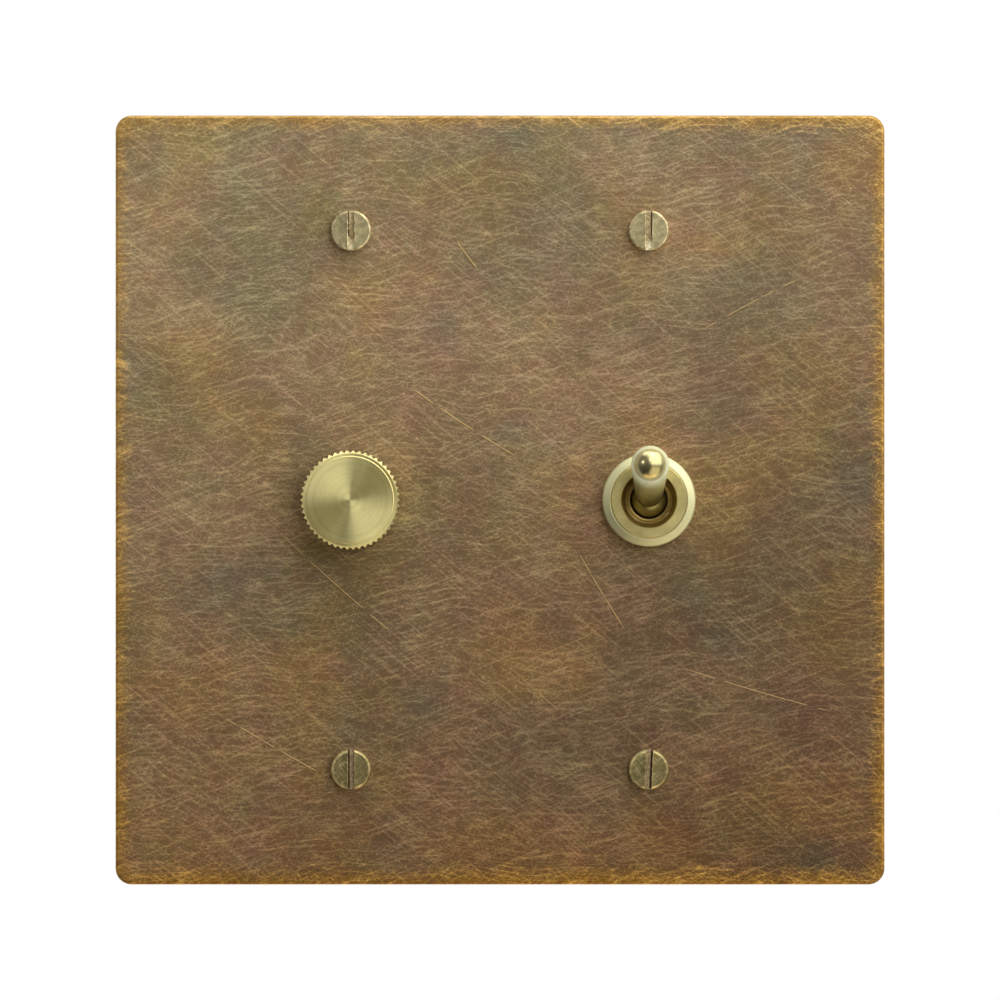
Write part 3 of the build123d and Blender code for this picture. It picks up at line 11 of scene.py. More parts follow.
import bmesh
import bpy
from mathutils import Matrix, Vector


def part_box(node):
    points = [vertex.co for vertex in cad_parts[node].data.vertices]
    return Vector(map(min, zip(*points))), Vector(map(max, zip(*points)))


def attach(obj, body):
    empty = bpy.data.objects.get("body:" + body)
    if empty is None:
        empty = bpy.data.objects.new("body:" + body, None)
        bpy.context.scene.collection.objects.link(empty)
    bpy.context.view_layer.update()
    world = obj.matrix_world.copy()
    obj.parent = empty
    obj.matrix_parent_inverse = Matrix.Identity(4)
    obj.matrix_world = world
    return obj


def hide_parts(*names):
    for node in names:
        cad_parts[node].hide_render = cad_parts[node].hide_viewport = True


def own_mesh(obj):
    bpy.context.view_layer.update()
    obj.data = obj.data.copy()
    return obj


MM = 0.001
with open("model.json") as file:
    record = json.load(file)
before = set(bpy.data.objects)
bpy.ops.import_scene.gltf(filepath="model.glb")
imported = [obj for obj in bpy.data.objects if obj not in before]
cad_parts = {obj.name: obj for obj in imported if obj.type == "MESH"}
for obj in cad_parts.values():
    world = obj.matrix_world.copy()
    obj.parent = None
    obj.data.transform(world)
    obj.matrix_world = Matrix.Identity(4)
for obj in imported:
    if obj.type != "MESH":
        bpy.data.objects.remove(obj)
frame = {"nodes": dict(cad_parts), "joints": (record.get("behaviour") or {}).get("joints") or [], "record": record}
nodes = frame["nodes"]
joints = {joint["name"]: joint for joint in frame["joints"]}
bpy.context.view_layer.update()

# Places taken from the frame, in millimetres.
plate_low, plate_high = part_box("face_plate")
PLATE_FRONT = plate_low.y / MM
PLATE_HALF = (plate_high.x - plate_low.x) / 2 / MM
PIVOT_Y = joints["lever_tilt"]["pos_m"][1] / MM
LEVER_TILT = radians(joints["lever_tilt"]["range_deg"][1] / 2)


# ---------------------------------------------------------------- node graphs


class Value:
    """An output in a node graph that Python arithmetic works on."""

    def __init__(self, graph, socket):
        self.graph = graph
        self.socket = socket

    def __add__(self, other):
        return self.graph.math("ADD", self, other)

    def __radd__(self, other):
        return self.graph.math("ADD", self, other)

    def __sub__(self, other):
        return self.graph.math("SUBTRACT", self, other)

    def __rsub__(self, other):
        return self.graph.math("SUBTRACT", other, self)

    def __mul__(self, other):
        return self.graph.math("MULTIPLY", self, other)

    def __rmul__(self, other):
        return self.graph.math("MULTIPLY", self, other)

    def __truediv__(self, other):
        return self.graph.math("DIVIDE", self, other)


class Graph:
    """Builds the nodes of one material or world."""

    def __init__(self, tree):
        self.tree = tree
        tree.nodes.clear()

    def node(self, kind, inputs=None, **settings):
        made = self.tree.nodes.new(kind)
        for name, value in settings.items():
            setattr(made, name, value)
        for name, value in (inputs or {}).items():
            self.feed(made.inputs[name], value)
        return made

    def feed(self, socket, value):
        if isinstance(value, Value):
            self.tree.links.new(value.socket, socket)
        elif isinstance(value, bpy.types.NodeSocket):
            self.tree.links.new(value, socket)
        elif isinstance(value, tuple) and len(value) == 3 and socket.type == "RGBA":
            socket.default_value = (*value, 1.0)
        else:
            socket.default_value = value

    def out(self, made, name):
        return Value(self, made.outputs[name])

    def math(self, operation, *values):
        made = self.node("ShaderNodeMath", operation=operation)
        for i, value in enumerate(values):
            self.feed(made.inputs[i], value)
        return Value(self, made.outputs[0])

    def vector(self, x, y, z=0.0):
        return self.out(self.node("ShaderNodeCombineXYZ", {"X": x, "Y": y, "Z": z}), "Vector")

    def split(self, vector):
        made = self.node("ShaderNodeSeparateXYZ", {"Vector": vector})
        return [Value(self, made.outputs[i]) for i in range(3)]

    def step(self, low, high, value):
        """0 below low, 1 above high, smooth between; low may be the larger of the two."""
        made = self.node("ShaderNodeMapRange", interpolation_type="SMOOTHSTEP")
        swapped = not isinstance(low, Value) and not isinstance(high, Value) and low > high
        if swapped:
            low, high = high, low
        for name, item in (("Value", value), ("From Min", low), ("From Max", high)):
            self.feed(made.inputs[name], item)
        made.inputs["To Min"].default_value = 1.0 if swapped else 0.0
        made.inputs["To Max"].default_value = 0.0 if swapped else 1.0
        return self.out(made, "Result")

    def noise(self, vector, size, detail=2.0, rough=0.5, seed=0.0):
        """Noise from about 0 to 1 whose features are about size across."""
        inputs = {"Vector": vector, "W": seed, "Scale": 1.0 / size, "Detail": detail, "Roughness": rough}
        return self.out(self.node("ShaderNodeTexNoise", inputs, noise_dimensions="4D"), "Fac")

    def flat_noise(self, u, v, detail=0.0, rough=0.5):
        """Cheap two-dimensional noise from about 0 to 1 whose features are about one unit across."""
        inputs = {"Vector": self.vector(u, v), "Scale": 1.0, "Detail": detail, "Roughness": rough}
        return self.out(self.node("ShaderNodeTexNoise", inputs, noise_dimensions="2D"), "Fac")

    def mix(self, share, a, b, blend="MIX"):
        made = self.node("ShaderNodeMix", data_type="RGBA", blend_type=blend, clamp_factor=True)
        self.feed(made.inputs[0], share)
        self.feed(made.inputs[6], a)
        self.feed(made.inputs[7], b)
        return Value(self, made.outputs[2])

    def ramp(self, value, *stops):
        """Colour ramp through (position, (r, g, b)) stops."""
        made = self.node("ShaderNodeValToRGB", {"Fac": value})
        ramp = made.color_ramp
        while len(ramp.elements) < len(stops):
            ramp.elements.new(0.5)
        for element, (place, colour) in zip(ramp.elements, stops):
            element.position = place
            element.color = (*colour, 1.0)
        return self.out(made, "Color")

    def bump(self, height_mm):
        made = self.node("ShaderNodeBump", {"Height": height_mm, "Strength": 1.0, "Distance": MM})
        return self.out(made, "Normal")

    def millimetres(self):
        """Object coordinates in millimetres."""
        coords = self.node("ShaderNodeTexCoord")
        made = self.node("ShaderNodeVectorMath", operation="SCALE")
        self.feed(made.inputs[0], coords.outputs["Object"])
        made.inputs["Scale"].default_value = 1 / MM
        return Value(self, made.outputs[0])


def srgb(r, g, b):
    """A colour given as it looks on a screen, 0 to 255, as linear light."""

    def linear(c):
        c /= 255
        return c / 12.92 if c <= 0.04045 else ((c + 0.055) / 1.055) ** 2.4

    return linear(r), linear(g), linear(b)


def material(name, surface):
    """A material whose Principled inputs come from surface(graph)."""
    made = bpy.data.materials.new(name)
    made.use_nodes = True
    graph = Graph(made.node_tree)
    shader = graph.node("ShaderNodeBsdfPrincipled", surface(graph))
    output = graph.node("ShaderNodeOutputMaterial")
    graph.tree.links.new(shader.outputs["BSDF"], output.inputs["Surface"])
    return made


def wear(obj, made):
    """Puts one material on every face of an object."""
    obj.data.materials.clear()
    obj.data.materials.append(made)


# ---------------------------------------------------------------- the plate's patina

# Long scratches on the plate's front, in millimetres from its centre: start, end, bow and half width.
SCRATCHES = (
    ((-34.6, -4.8), (-15.3, -21.9), 0.8, 0.09),
    ((-14.9, 18.1), (3.2, 6.2), 1.2, 0.10),
    ((-6.9, 40.1), (-3.6, 35.7), 0.1, 0.10),
    ((-44.1, -32.9), (-26.9, -42.9), 0.6, 0.10),
    ((12.0, -8.0), (19.5, -20.5), 0.5, 0.08),
    ((31.0, 26.0), (47.0, 34.5), -0.8, 0.07),
    ((28.0, -26.0), (52.0, -33.0), 0.9, 0.07),
)
MIDDLE_TONE = 0.35  # the patina's usual tone, between its darkest at 0 and its palest at 1
EDGE_SHIFT = 1.7  # how far the marks on the plate's narrow sides move for each millimetre of depth
RELIEF_LAYERS = 3  # how many layers of hairlines are cut deep enough to catch the light
HAIRLINE_DEPTH = 0.010
GRAIN_DEPTH = 0.003
CURL_WIDTH = 0.09
CURL_WEIGHT = 0.17


def hairlines(g, x, z, angle, width, length, seed, low, high):
    """Fine scratches that run at an angle in degrees: the peaks of noise stretched along them."""
    c, s = cos(radians(angle)), sin(radians(angle))
    along = (x * c + z * s) * (1 / length) + seed * 3.71
    across = (z * c - x * s) * (1 / width) + seed * 9.13
    return g.step(low, high, g.flat_noise(along, across))


def scratch(g, x, z, start, end, bow, width, seed):
    """One long scratch between two points of the plate's front: its groove, then its raised edge."""
    (x0, z0), (x1, z1) = start, end
    length = hypot(x1 - x0, z1 - z0)
    c, s = (x1 - x0) / length, (z1 - z0) / length
    dx, dz = x - x0, z - z0
    along = (dx * c + dz * s) * (1 / length)
    across = dz * c - dx * s + along * (1.0 - along) * bow
    ends = g.step(0.0, 0.12, along) * g.step(1.0, 0.88, along)
    skips = g.step(0.3, 0.5, g.flat_noise(along * (length / 2.5) + seed, seed))
    groove = g.step(width, width * 0.3, g.math("ABSOLUTE", across))
    edge = g.step(width, width * 0.3, g.math("ABSOLUTE", across - width * 1.2))
    return groove * ends * skips, edge * ends * skips


def brushing(g, place):
    """The steel wool's marks: all lines, those of them cut in relief, and the grain between them."""
    x, y, z = g.split(place)
    depth = y - PLATE_FRONT
    across, rise = x + depth * EDGE_SHIFT, z + depth * EDGE_SHIFT
    drift = g.noise(place, 30, 1.0, seed=3.1)
    sway = g.noise(place, 11, 1.0, seed=8.4)
    wavy_x = across + sway * 5.0
    wavy_z = rise + drift * 13.0 + sway * 3.0
    waved_z = rise + drift * 6.0 - sway * 6.0

    # Coordinates, angle, width and length of the lines, noise where they start and are full, and weight.
    layers = (
        (wavy_x, wavy_z, 0, 0.33, 5.0, 0.50, 0.80, 0.26),
        (across, waved_z, 11, 0.30, 4.5, 0.50, 0.80, 0.24),
        (across, wavy_z, -14, 0.31, 5.5, 0.50, 0.80, 0.24),
        (wavy_x, rise, 34, 0.28, 3.6, 0.52, 0.80, 0.24),
        (wavy_x, waved_z, -37, 0.28, 4.0, 0.52, 0.80, 0.24),
        (across, waved_z, 68, 0.27, 3.0, 0.54, 0.80, 0.22),
        (wavy_x, rise, -72, 0.27, 3.0, 0.54, 0.80, 0.20),
        (across, rise, 22, 0.42, 16.0, 0.68, 0.78, 0.30),
        (across, rise, -41, 0.40, 20.0, 0.70, 0.80, 0.30),
        (wavy_x, waved_z, 3, 0.42, 22.0, 0.67, 0.78, 0.30),
    )
    lines = None
    for seed, (u, v, angle, width, length, low, high, weight) in enumerate(layers, 1):
        layer = hairlines(g, u, v, angle, width, length, seed, low, high) * weight
        lines = layer if lines is None else lines + layer
        if seed == RELIEF_LAYERS:
            relief = lines
    for seed, size in enumerate((0.75, 1.0), 3):
        curls = g.flat_noise(wavy_x * (0.8 / size) + seed * 5.3, waved_z * (1.1 / size), 0.0)
        lines = lines + g.step(CURL_WIDTH, 0.0, g.math("ABSOLUTE", curls - 0.5)) * CURL_WEIGHT
    grain = g.flat_noise(wavy_x * 0.6, wavy_z * 2.4, 2.0, 0.7)
    return lines, relief, grain


def brass_tones(g, tone, dark, middle, pale):
    """Colours as they look on a screen, for the patina's darkest, usual and palest tone."""
    return g.ramp(tone, (0.0, srgb(*dark)), (MIDDLE_TONE, srgb(*middle)), (1.0, srgb(*pale)))


def tarnish(g, place, colour):
    """Tints the brass in cloudy areas, violet, gold, green and blue."""
    violet = g.step(0.40, 0.66, g.noise(place, 7, 5.0, 0.7, seed=21.0))
    green = g.step(0.42, 0.60, g.noise(place, 30, 5.0, 0.6, seed=31.0))
    gold = g.step(0.44, 0.64, g.noise(place, 22, 4.0, 0.6, seed=41.0))
    blue = g.step(0.56, 0.72, g.noise(place, 14, 2.0, 0.5, seed=61.0))
    colour = g.mix(violet * 0.75, colour, (1.0, 0.84, 0.96), "MULTIPLY")
    colour = g.mix(gold * 0.8, colour, (1.14, 1.06, 0.78), "MULTIPLY")
    colour = g.mix(green * 0.8, colour, (0.74, 0.84, 0.84), "MULTIPLY")
    return g.mix(blue * 0.6, colour, (0.74, 0.88, 1.06), "MULTIPLY")


def worn_rim(g, place, lines, up):
    """Where the plate's rim is rubbed back to golden brass: a ragged band, wider at the corners."""
    x, _, z = g.split(place)
    to_side = PLATE_HALF - g.math("ABSOLUTE", x)
    to_top = PLATE_HALF - g.math("ABSOLUTE", z)
    ragged = g.noise(place, 7, 5.0, 0.7, seed=51.0) - lines * 0.3
    side = g.step(4.0, 1.0, to_side + ragged * 4.2)
    top = g.step(5.4 - up * 0.8, 1.2, to_top + ragged * 5.0)
    corner = g.step(10.0, 2.0, to_side + to_top + ragged * 5.0)
    return g.math("MAXIMUM", g.math("MAXIMUM", side, top), corner)


def long_scratches(g, place):
    """All the long scratches: their grooves, then their raised edges."""
    x, _, z = g.split(place)
    grooves, edges = None, None
    for seed, (start, end, bow, width) in enumerate(SCRATCHES):
        groove, edge = scratch(g, x, z, start, end, bow, width, seed * 7.0 + 3.0)
        grooves = groove if grooves is None else grooves + groove
        edges = edge if edges is None else edges + edge
    return g.math("MINIMUM", grooves, 1.0), g.math("MINIMUM", edges, 1.0)


def patina(g):
    """Aged brass scratched all over with steel wool: pale hairlines over brown, tarnish, a golden rim, and painted
    light and shade.
    """
    place = g.millimetres()
    lines, relief, grain = brushing(g, place)
    mottle = g.noise(place, 1.6, 2.0, 0.6, seed=5.5)
    fog = g.noise(place, 9, 3.0, 0.55, seed=2.9)
    clouds = g.noise(place, 30, 2.0, 0.5, seed=1.7)
    tone = lines * 0.6 + (grain - 0.5) * 0.18 + (mottle - 0.5) * 0.14
    tone = tone + (fog - 0.5) * 0.26 + (clouds - 0.5) * 0.26 + 0.2

    # Painted light and shade: brown and darker at the bottom, greyer and paler at the top, and a little darker to
    # the right.
    x, _, z = g.split(place)
    up = z * (0.5 / PLATE_HALF) + 0.5
    left = x * (-0.5 / PLATE_HALF) + 0.5
    high = brass_tones(g, tone, (138, 118, 88), (164, 142, 106), (222, 200, 156))
    low = brass_tones(g, tone, (96, 70, 46), (122, 92, 62), (190, 154, 106))
    colour = g.mix(g.step(-0.15, 1.1, up * 0.8 + left * 0.2), low, high)
    right = g.step(-1.0, 1.0, x / PLATE_HALF)
    colour = g.mix(1.0, colour, g.mix(right, (1.04, 1.04, 1.02), (0.82, 0.81, 0.83)), "MULTIPLY")
    colour = tarnish(g, place, colour)

    # The rubbed rim's tones follow the same painted light and shade: paler at the top, darker at the bottom.
    rim_low = brass_tones(g, tone, (112, 76, 22), (158, 112, 36), (240, 186, 92))
    rim_high = brass_tones(g, tone, (132, 98, 38), (182, 138, 60), (250, 206, 124))
    colour = g.mix(worn_rim(g, place, lines, up) * 0.9, colour, g.mix(up, rim_low, rim_high))

    grooves, edges = long_scratches(g, place)
    colour = g.mix(grooves * 0.8, colour, srgb(84, 62, 36))
    colour = g.mix(edges * 0.9, colour, srgb(240, 206, 140))
    return {
        "Base Color": colour,
        "Metallic": 0.85,
        "Roughness": 0.5 + (fog - 0.5) * 0.12,
        "Normal": g.bump(relief * HAIRLINE_DEPTH + grain * GRAIN_DEPTH),
    }


# ---------------------------------------------------------------- the other metals


def brushed_metal(light, dark, rough=0.3, bump=0.003, size=3.0, metallic=1.0):
    """Metal with faint clouding and fine handling marks."""

    def surface(g):
        place = g.millimetres()
        cloud = g.noise(place, size, 4.0, 0.6, seed=2.0)
        speck = g.noise(place, size * 0.12, 3.0, 0.6, seed=4.0)
        return {
            "Base Color": g.mix(g.step(0.3, 0.7, cloud), dark, light),
            "Metallic": metallic,
            "Roughness": cloud * 0.12 + speck * 0.1 + (rough - 0.1),
            "Normal": g.bump((speck + cloud) * bump),
        }

    return surface


def turned_metal(x, z, light, dark, rough=0.3, anisotropic=0.0, rings=0.6):
    """Lathe-turned metal: fine rings about the line through (x, z) along Y."""

    def surface(g):
        place = g.millimetres()
        px, py, pz = g.split(place)
        dx, dz = px - x / MM, pz - z / MM
        r = g.math("SQRT", dx * dx + dz * dz)
        track = g.vector(r, py, 0.0)
        fine = g.noise(track, 0.12, 2.0, 0.7, seed=1.0)
        broad = g.noise(track, 0.7, 2.0, 0.5, seed=2.0)
        cloud = g.noise(place, 3.0, 3.0, 0.6, seed=3.0)
        tone = (fine - 0.5) * rings + (broad - 0.5) * 0.15 + (cloud - 0.5) * 0.4 + 0.6
        tangent = g.node("ShaderNodeTangent", direction_type="RADIAL", axis="Y")
        return {
            "Base Color": g.mix(g.step(0.2, 1.0, tone), dark, light),
            "Metallic": 1.0,
            "Roughness": fine * 0.08 + cloud * 0.08 + (rough - 0.08),
            "Anisotropic": anisotropic,
            "Tangent": g.out(tangent, "Tangent"),
            "Normal": g.bump(fine * 0.001 * rings),
        }

    return surface


def lever_finish(g):
    """Satin brass with a mirror-polished cap on the tip; painted shade darkens it towards the ball and turns the
    ball near black deep in its socket.
    """
    place = g.millimetres()
    _, y, z = g.split(place)
    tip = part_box("toggle_lever")[0].y / MM
    from_pivot = (y - PIVOT_Y) * -cos(LEVER_TILT) + z * sin(LEVER_TILT)
    cap = g.step(tip + 1.6, tip + 1.1, y)
    cloud = g.noise(place, 3.0, 3.0, 0.6, seed=2.0)
    speck = g.noise(place, 0.25, 3.0, 0.6, seed=4.0)
    satin = g.mix(g.step(0.3, 0.7, cloud), (0.90, 0.94, 0.58), (0.98, 1.0, 0.70))
    # Painted shade: a darker, browner colour towards the ball, where less light reaches.
    tarnish = g.mix(g.step(0.3, 0.7, cloud), (0.36, 0.31, 0.12), (0.48, 0.42, 0.17))
    high = g.step(4.0, 17.0, from_pivot)
    colour = g.mix(high, tarnish, satin)
    colour = g.mix(cap, colour, (0.58, 0.51, 0.25))
    # Painted shade: the ball goes near black where it sits deep in the socket.
    colour = g.mix(g.step(1.0, 0.6, from_pivot), colour, (0.03, 0.022, 0.01))
    return {
        "Base Color": colour,
        "Metallic": 1.0 - g.step(14.0, 19.5, from_pivot) * 0.6 * (1.0 - cap),
        "Roughness": 0.40 - cap * 0.12 + (speck - 0.5) * 0.06,
        "Normal": g.bump(speck * (0.004 - cap * 0.0037)),
    }


def bush_finish(g):
    """Lathe-turned brass: a brushed face, a bowl darkened with painted shade, near-black rings of painted shade at
    its mouth, and a throat painted near black as shade.
    """
    place = g.millimetres()
    x, y, z = g.split(place)
    centre = centre_of("toggle_bushing")
    dx, dz = x - centre.x / MM, z - centre.z / MM
    r = g.math("SQRT", dx * dx + dz * dz)
    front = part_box("toggle_bushing")[0].y / MM
    fine = g.noise(g.vector(r, y, 0.0), 0.12, 2.0, 0.7, seed=1.0)
    brushed = g.flat_noise(dx * 0.5 + dz * 0.2, dz * 5.0 - dx * 2.0, 2.0, 0.6)
    cloud = g.noise(place, 2.5, 3.0, 0.6, seed=3.0)
    marks = g.step(0.25, 0.75, brushed * 0.2 + fine * 0.3 + cloud * 0.5)
    face = g.mix(marks, (0.56, 0.47, 0.19), (0.82, 0.70, 0.30))
    # Painted shade: the bowl's colour is darker than the face's.
    bowl = g.mix(g.step(0.35, 0.65, fine * 0.5 + cloud * 0.5), (0.36, 0.26, 0.09), (0.56, 0.43, 0.17))
    colour = g.mix(g.step(front + 0.5, front + 0.9, y), face, bowl)
    # Painted shade: near-black rings at the mouth stand for shaded thread-like grooves.
    mouth = g.step(front + 0.05, front + 0.3, y) * g.step(front + 1.3, front + 0.9, y)
    ring = g.step(0.35, 0.6, g.flat_noise(y * 6.0, 3.0))
    colour = g.mix(mouth * ring * 0.75, colour, (0.10, 0.07, 0.025))
    # Painted shade: the throat goes near black.
    colour = g.mix(g.step(front + 2.72, front + 2.85, y), colour, (0.02, 0.014, 0.007))
    tangent = g.node("ShaderNodeTangent", direction_type="RADIAL", axis="Y")
    return {
        "Base Color": colour,
        "Metallic": 1.0,
        "Roughness": fine * 0.1 + cloud * 0.1 + 0.26,
        "Anisotropic": 0.3,
        "Tangent": g.out(tangent, "Tangent"),
        "Normal": g.bump(fine * 0.003 + brushed * 0.001),
    }


def moulded(colour, rough=0.4, size=1.0, bump=0.01, metallic=0.0):
    """Moulded plastic or a coating with a fine grain."""

    def surface(g):
        place = g.millimetres()
        grain = g.noise(place, size * 0.25, 3.0, 0.6, seed=1.0)
        cloud = g.noise(place, size * 8, 2.0, 0.5, seed=2.0)
        lighter = tuple(min(1.0, c * 1.35 + 0.004) for c in colour)
        return {
            "Base Color": g.mix(cloud * 0.6 + grain * 0.4, colour, lighter),
            "Metallic": metallic,
            "Roughness": grain * 0.14 + (rough - 0.07),
            "Normal": g.bump(grain * bump),
        }

    return surface


def centre_of(node):
    low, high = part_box(node)
    return (low + high) / 2


def paint_frame():
    """Gives every CAD node its material."""
    knob, ring = centre_of("dimmer_knob"), centre_of("toggle_dress_nut")
    pale, olive = (1.0, 0.89, 0.41), (0.72, 0.62, 0.26)
    finishes = {
        "aged_brass": patina,
        "screw_brass": brushed_metal(srgb(196, 180, 130), srgb(140, 124, 84), 0.32, 0.01, 1.2),
        "knob_brass": turned_metal(knob.x, knob.z, pale, olive, 0.33, 0.88, 0.9),
        "nut_brass": turned_metal(ring.x, ring.z, (0.88, 0.85, 0.52), (0.74, 0.71, 0.42), 0.6),
        "bush_brass": bush_finish,
        "lever_brass": lever_finish,
        "contact_brass": brushed_metal((0.85, 0.68, 0.36), (0.74, 0.56, 0.28), 0.28),
        "silver": brushed_metal((0.9, 0.9, 0.88), (0.75, 0.75, 0.74), 0.3),
        "copper": brushed_metal((0.9, 0.5, 0.34), (0.75, 0.36, 0.22), 0.3),
        "steel": brushed_metal((0.72, 0.72, 0.71), (0.55, 0.55, 0.55), 0.3),
        "zinc_steel": brushed_metal((0.75, 0.73, 0.62), (0.6, 0.59, 0.52), 0.35, 0.004, 2.0),
        "nickel": brushed_metal((0.78, 0.76, 0.72), (0.66, 0.64, 0.6), 0.22),
        "green_zinc": moulded((0.05, 0.26, 0.08), 0.35, 1.0, 0.004, 0.6),
        "aluminium": brushed_metal((0.82, 0.82, 0.83), (0.7, 0.7, 0.71), 0.4, 0.006, 2.5),
        "phenolic": moulded((0.035, 0.016, 0.01), 0.28),
        "black_plastic": moulded((0.012, 0.012, 0.013), 0.45, 1.0, 0.02),
        "nylon": moulded((0.78, 0.76, 0.68), 0.4),
        "laminate": moulded((0.24, 0.15, 0.05), 0.45),
        "capacitor_plastic": moulded((0.55, 0.36, 0.05), 0.3),
        "fuse_body": moulded((0.7, 0.7, 0.66), 0.2),
        "iron_powder": moulded((0.6, 0.42, 0.03), 0.5),
        "black_insulation": moulded((0.012, 0.012, 0.012), 0.35),
        "red_insulation": moulded((0.32, 0.012, 0.01), 0.35),
        "green_insulation": moulded((0.012, 0.16, 0.03), 0.35),
        "rubber": moulded((0.014, 0.014, 0.014), 0.6, 0.8, 0.02),
    }
    made = {slot: material(slot, surface) for slot, surface in finishes.items()}
    for part in frame["record"]["subparts"]:
        wear(nodes[part["node"]], made[part["material_slot"]])


# ---------------------------------------------------------------- screws

SCREW_HEAD_R = 3.1
SLOT_HALF = 0.5
SLOT_DEPTH = 1.15
SEAT_GAP = 0.02  # between a head and the plate
NECK_R = 1.48
SCREW_PITCH = 25.4 / 32
THREAD_CREST_R = 1.74
THREAD_ROOT_R = 1.42
THREAD_START = 1.0  # behind the wall plane
HEAD_POINTS = 96
# How far each screw's slot is turned from upright, in degrees, by the screw's corner (right, up).
SCREW_TURNS = {(-1, 1): 0.6, (1, 1): -0.4, (-1, -1): 0.3, (1, -1): -2.6}
# These attributes also carry painted light and shade: a painted highlight at the upper slots' lower ends and
# painted shade along one slot wall.
WEAR_AND_GLINT, GRIME_AND_SHADE = "wear_and_glint", "grime_and_shade"  # mesh attributes that the screws' material reads


class Loft:
    """Builds one mesh out of grids of points, each with its wear_and_glint and grime_and_shade shares."""

    def __init__(self):
        self.points = []
        self.faces = []
        self.wear_and_glint = []
        self.grime_and_shade = []

    def row(self, points, wear_and_glint=0.0, grime_and_shade=0.0):
        """Adds a row of points and returns their numbers. Their wear_and_glint and grime_and_shade shares: a
        value, or one for each point.
        """
        first = len(self.points)
        self.points += points
        for values, target in ((wear_and_glint, self.wear_and_glint), (grime_and_shade, self.grime_and_shade)):
            target += values if isinstance(values, list) else [values] * len(points)
        return list(range(first, len(self.points)))

    def skin(self, rows, closed=False):
        """Quads between neighbouring rows."""
        for a, b in zip(rows, rows[1:]):
            count = len(a)
            for i in range(count if closed else count - 1):
                j = (i + 1) % count
                self.faces.append((a[i], a[j], b[j], b[i]))

    def cap(self, row):
        self.faces.append(tuple(row))

    def mesh(self, name):
        data = bpy.data.meshes.new(name)
        data.from_pydata([tuple(c * MM for c in p) for p in self.points], [], self.faces)
        for key, values in ((WEAR_AND_GLINT, self.wear_and_glint), (GRIME_AND_SHADE, self.grime_and_shade)):
            data.attributes.new(key, "FLOAT", "POINT").data.foreach_set("value", values)
        build = bmesh.new()
        build.from_mesh(data)
        bmesh.ops.recalc_face_normals(build, faces=build.faces)
        build.to_mesh(data)
        build.free()
        return data


def half_head(loft, place, side, radius, top, bottom, rim, nick, chance):
    """One half of a slotted head: a rounded rim rubbed back to bare brass, and a slot edge with small burrs."""
    arc_steps, slot_steps = 44, 26
    burrs = [0.0] * (slot_steps + 1)
    for i in range(1, slot_steps):
        near_middle = 1.0 - abs(i / slot_steps - 0.5) * 1.2
        burrs[i] = chance.uniform(-0.05, 0.09) * near_middle

    nicks = [0.0] * (arc_steps + 1)
    for i in range(1, arc_steps):
        nicks[i] = -chance.uniform(0.0, 1.0) ** 6 * nick

    def outline(inset, slot_inset, depth, ragged):
        """Round the arc, then back along the slot."""
        r, x0 = radius - inset, SLOT_HALF + slot_inset
        reach = acos(x0 / r)
        points = []
        for i in range(arc_steps + 1):
            angle = reach * (1 - 2 * i / arc_steps)
            r = radius - inset + nicks[i] * ragged
            points.append((side * r * cos(angle), depth, r * sin(angle)))
        half = r * sin(reach)
        for i in range(1, slot_steps):
            share = 1 - 2 * i / slot_steps
            x = side * (x0 - burrs[i] * ragged)
            points.append((x, depth - abs(burrs[i]) * ragged * 0.6, -half * share))
        return [place(p) for p in points]

    def wear_and_glint(arc, slot):
        return [arc] * (arc_steps + 1) + [slot] * (slot_steps - 1)

    rows = [
        loft.row(outline(0.0, 0.0, bottom, 0.0), 0.3, 0.5),
        loft.row(outline(0.0, 0.0, top + rim * 0.9, 0.4), wear_and_glint(0.8, 0.1)),
        loft.row(outline(rim * 0.12, 0.0, top + rim * 0.5, 0.8), wear_and_glint(1.0, 0.3)),
        loft.row(outline(rim * 0.5, 0.02, top + rim * 0.14, 1.0), 1.0),
        loft.row(outline(rim * 0.95, 0.07, top, 0.7), wear_and_glint(0.85, 1.0)),
        loft.row(outline(rim + 0.08, 0.14, top, 0.0), 0.0),
    ]
    loft.skin(rows, closed=True)
    loft.cap(rows[-1])


def slot_floor(loft, place, radius, depth, chance, dark_side, flare):
    """The slot's rough floor with a few dark marks and painted shade along one wall; where there is flare, its
    lower end rises and carries a painted highlight.
    """
    columns, steps = 9, 30
    rows = []
    half = sqrt(radius**2 - SLOT_HALF**2)
    for i in range(steps + 1):
        share = i / steps
        z = half * (2 * share - 1)
        points, wear_and_glint, grime_and_shade = [], [], []
        for j in range(columns):
            x = SLOT_HALF * (2 * j / (columns - 1) - 1)
            end = sqrt(max(radius**2 - x**2, 0.0))
            lift = chance.uniform(0.0, 0.12) if 0 < i < steps else 0.0
            lift += flare * 0.8 * max(0.0, 1.0 - share / 0.3)
            points.append(place((x, depth - lift, max(-end, min(end, z)))))
            wall = (x * dark_side / SLOT_HALF + 1) / 2
            # Painted shade along the slot's outer wall, where that wall lies in shade; elsewhere only a few dark
            # marks in the middle of the upper slots.
            shade_and_dirt = wall > 0.72 + 0.14 * flare and share > 0.35 * flare
            shade_and_dirt = shade_and_dirt or (0.3 < share < 0.6 and chance.uniform(0.0, 1.0) < 0.14 * flare)
            grime_and_shade.append(1.0 if shade_and_dirt else 0.35 + chance.uniform(-0.1, 0.15))
            fleck = chance.uniform(0.0, 1.0) ** 3 * (0.4 + 0.5 * flare)
            # Where there is flare, the lower end is marked bare brass as a painted highlight; the flecks elsewhere
            # are wear.
            wear_and_glint.append(max(fleck, min(1.0, 2.0 - share / 0.16) * flare) * (1.0 - grime_and_shade[-1] * 0.5))
        rows.append(loft.row(points, wear_and_glint, grime_and_shade))
    loft.skin(rows)


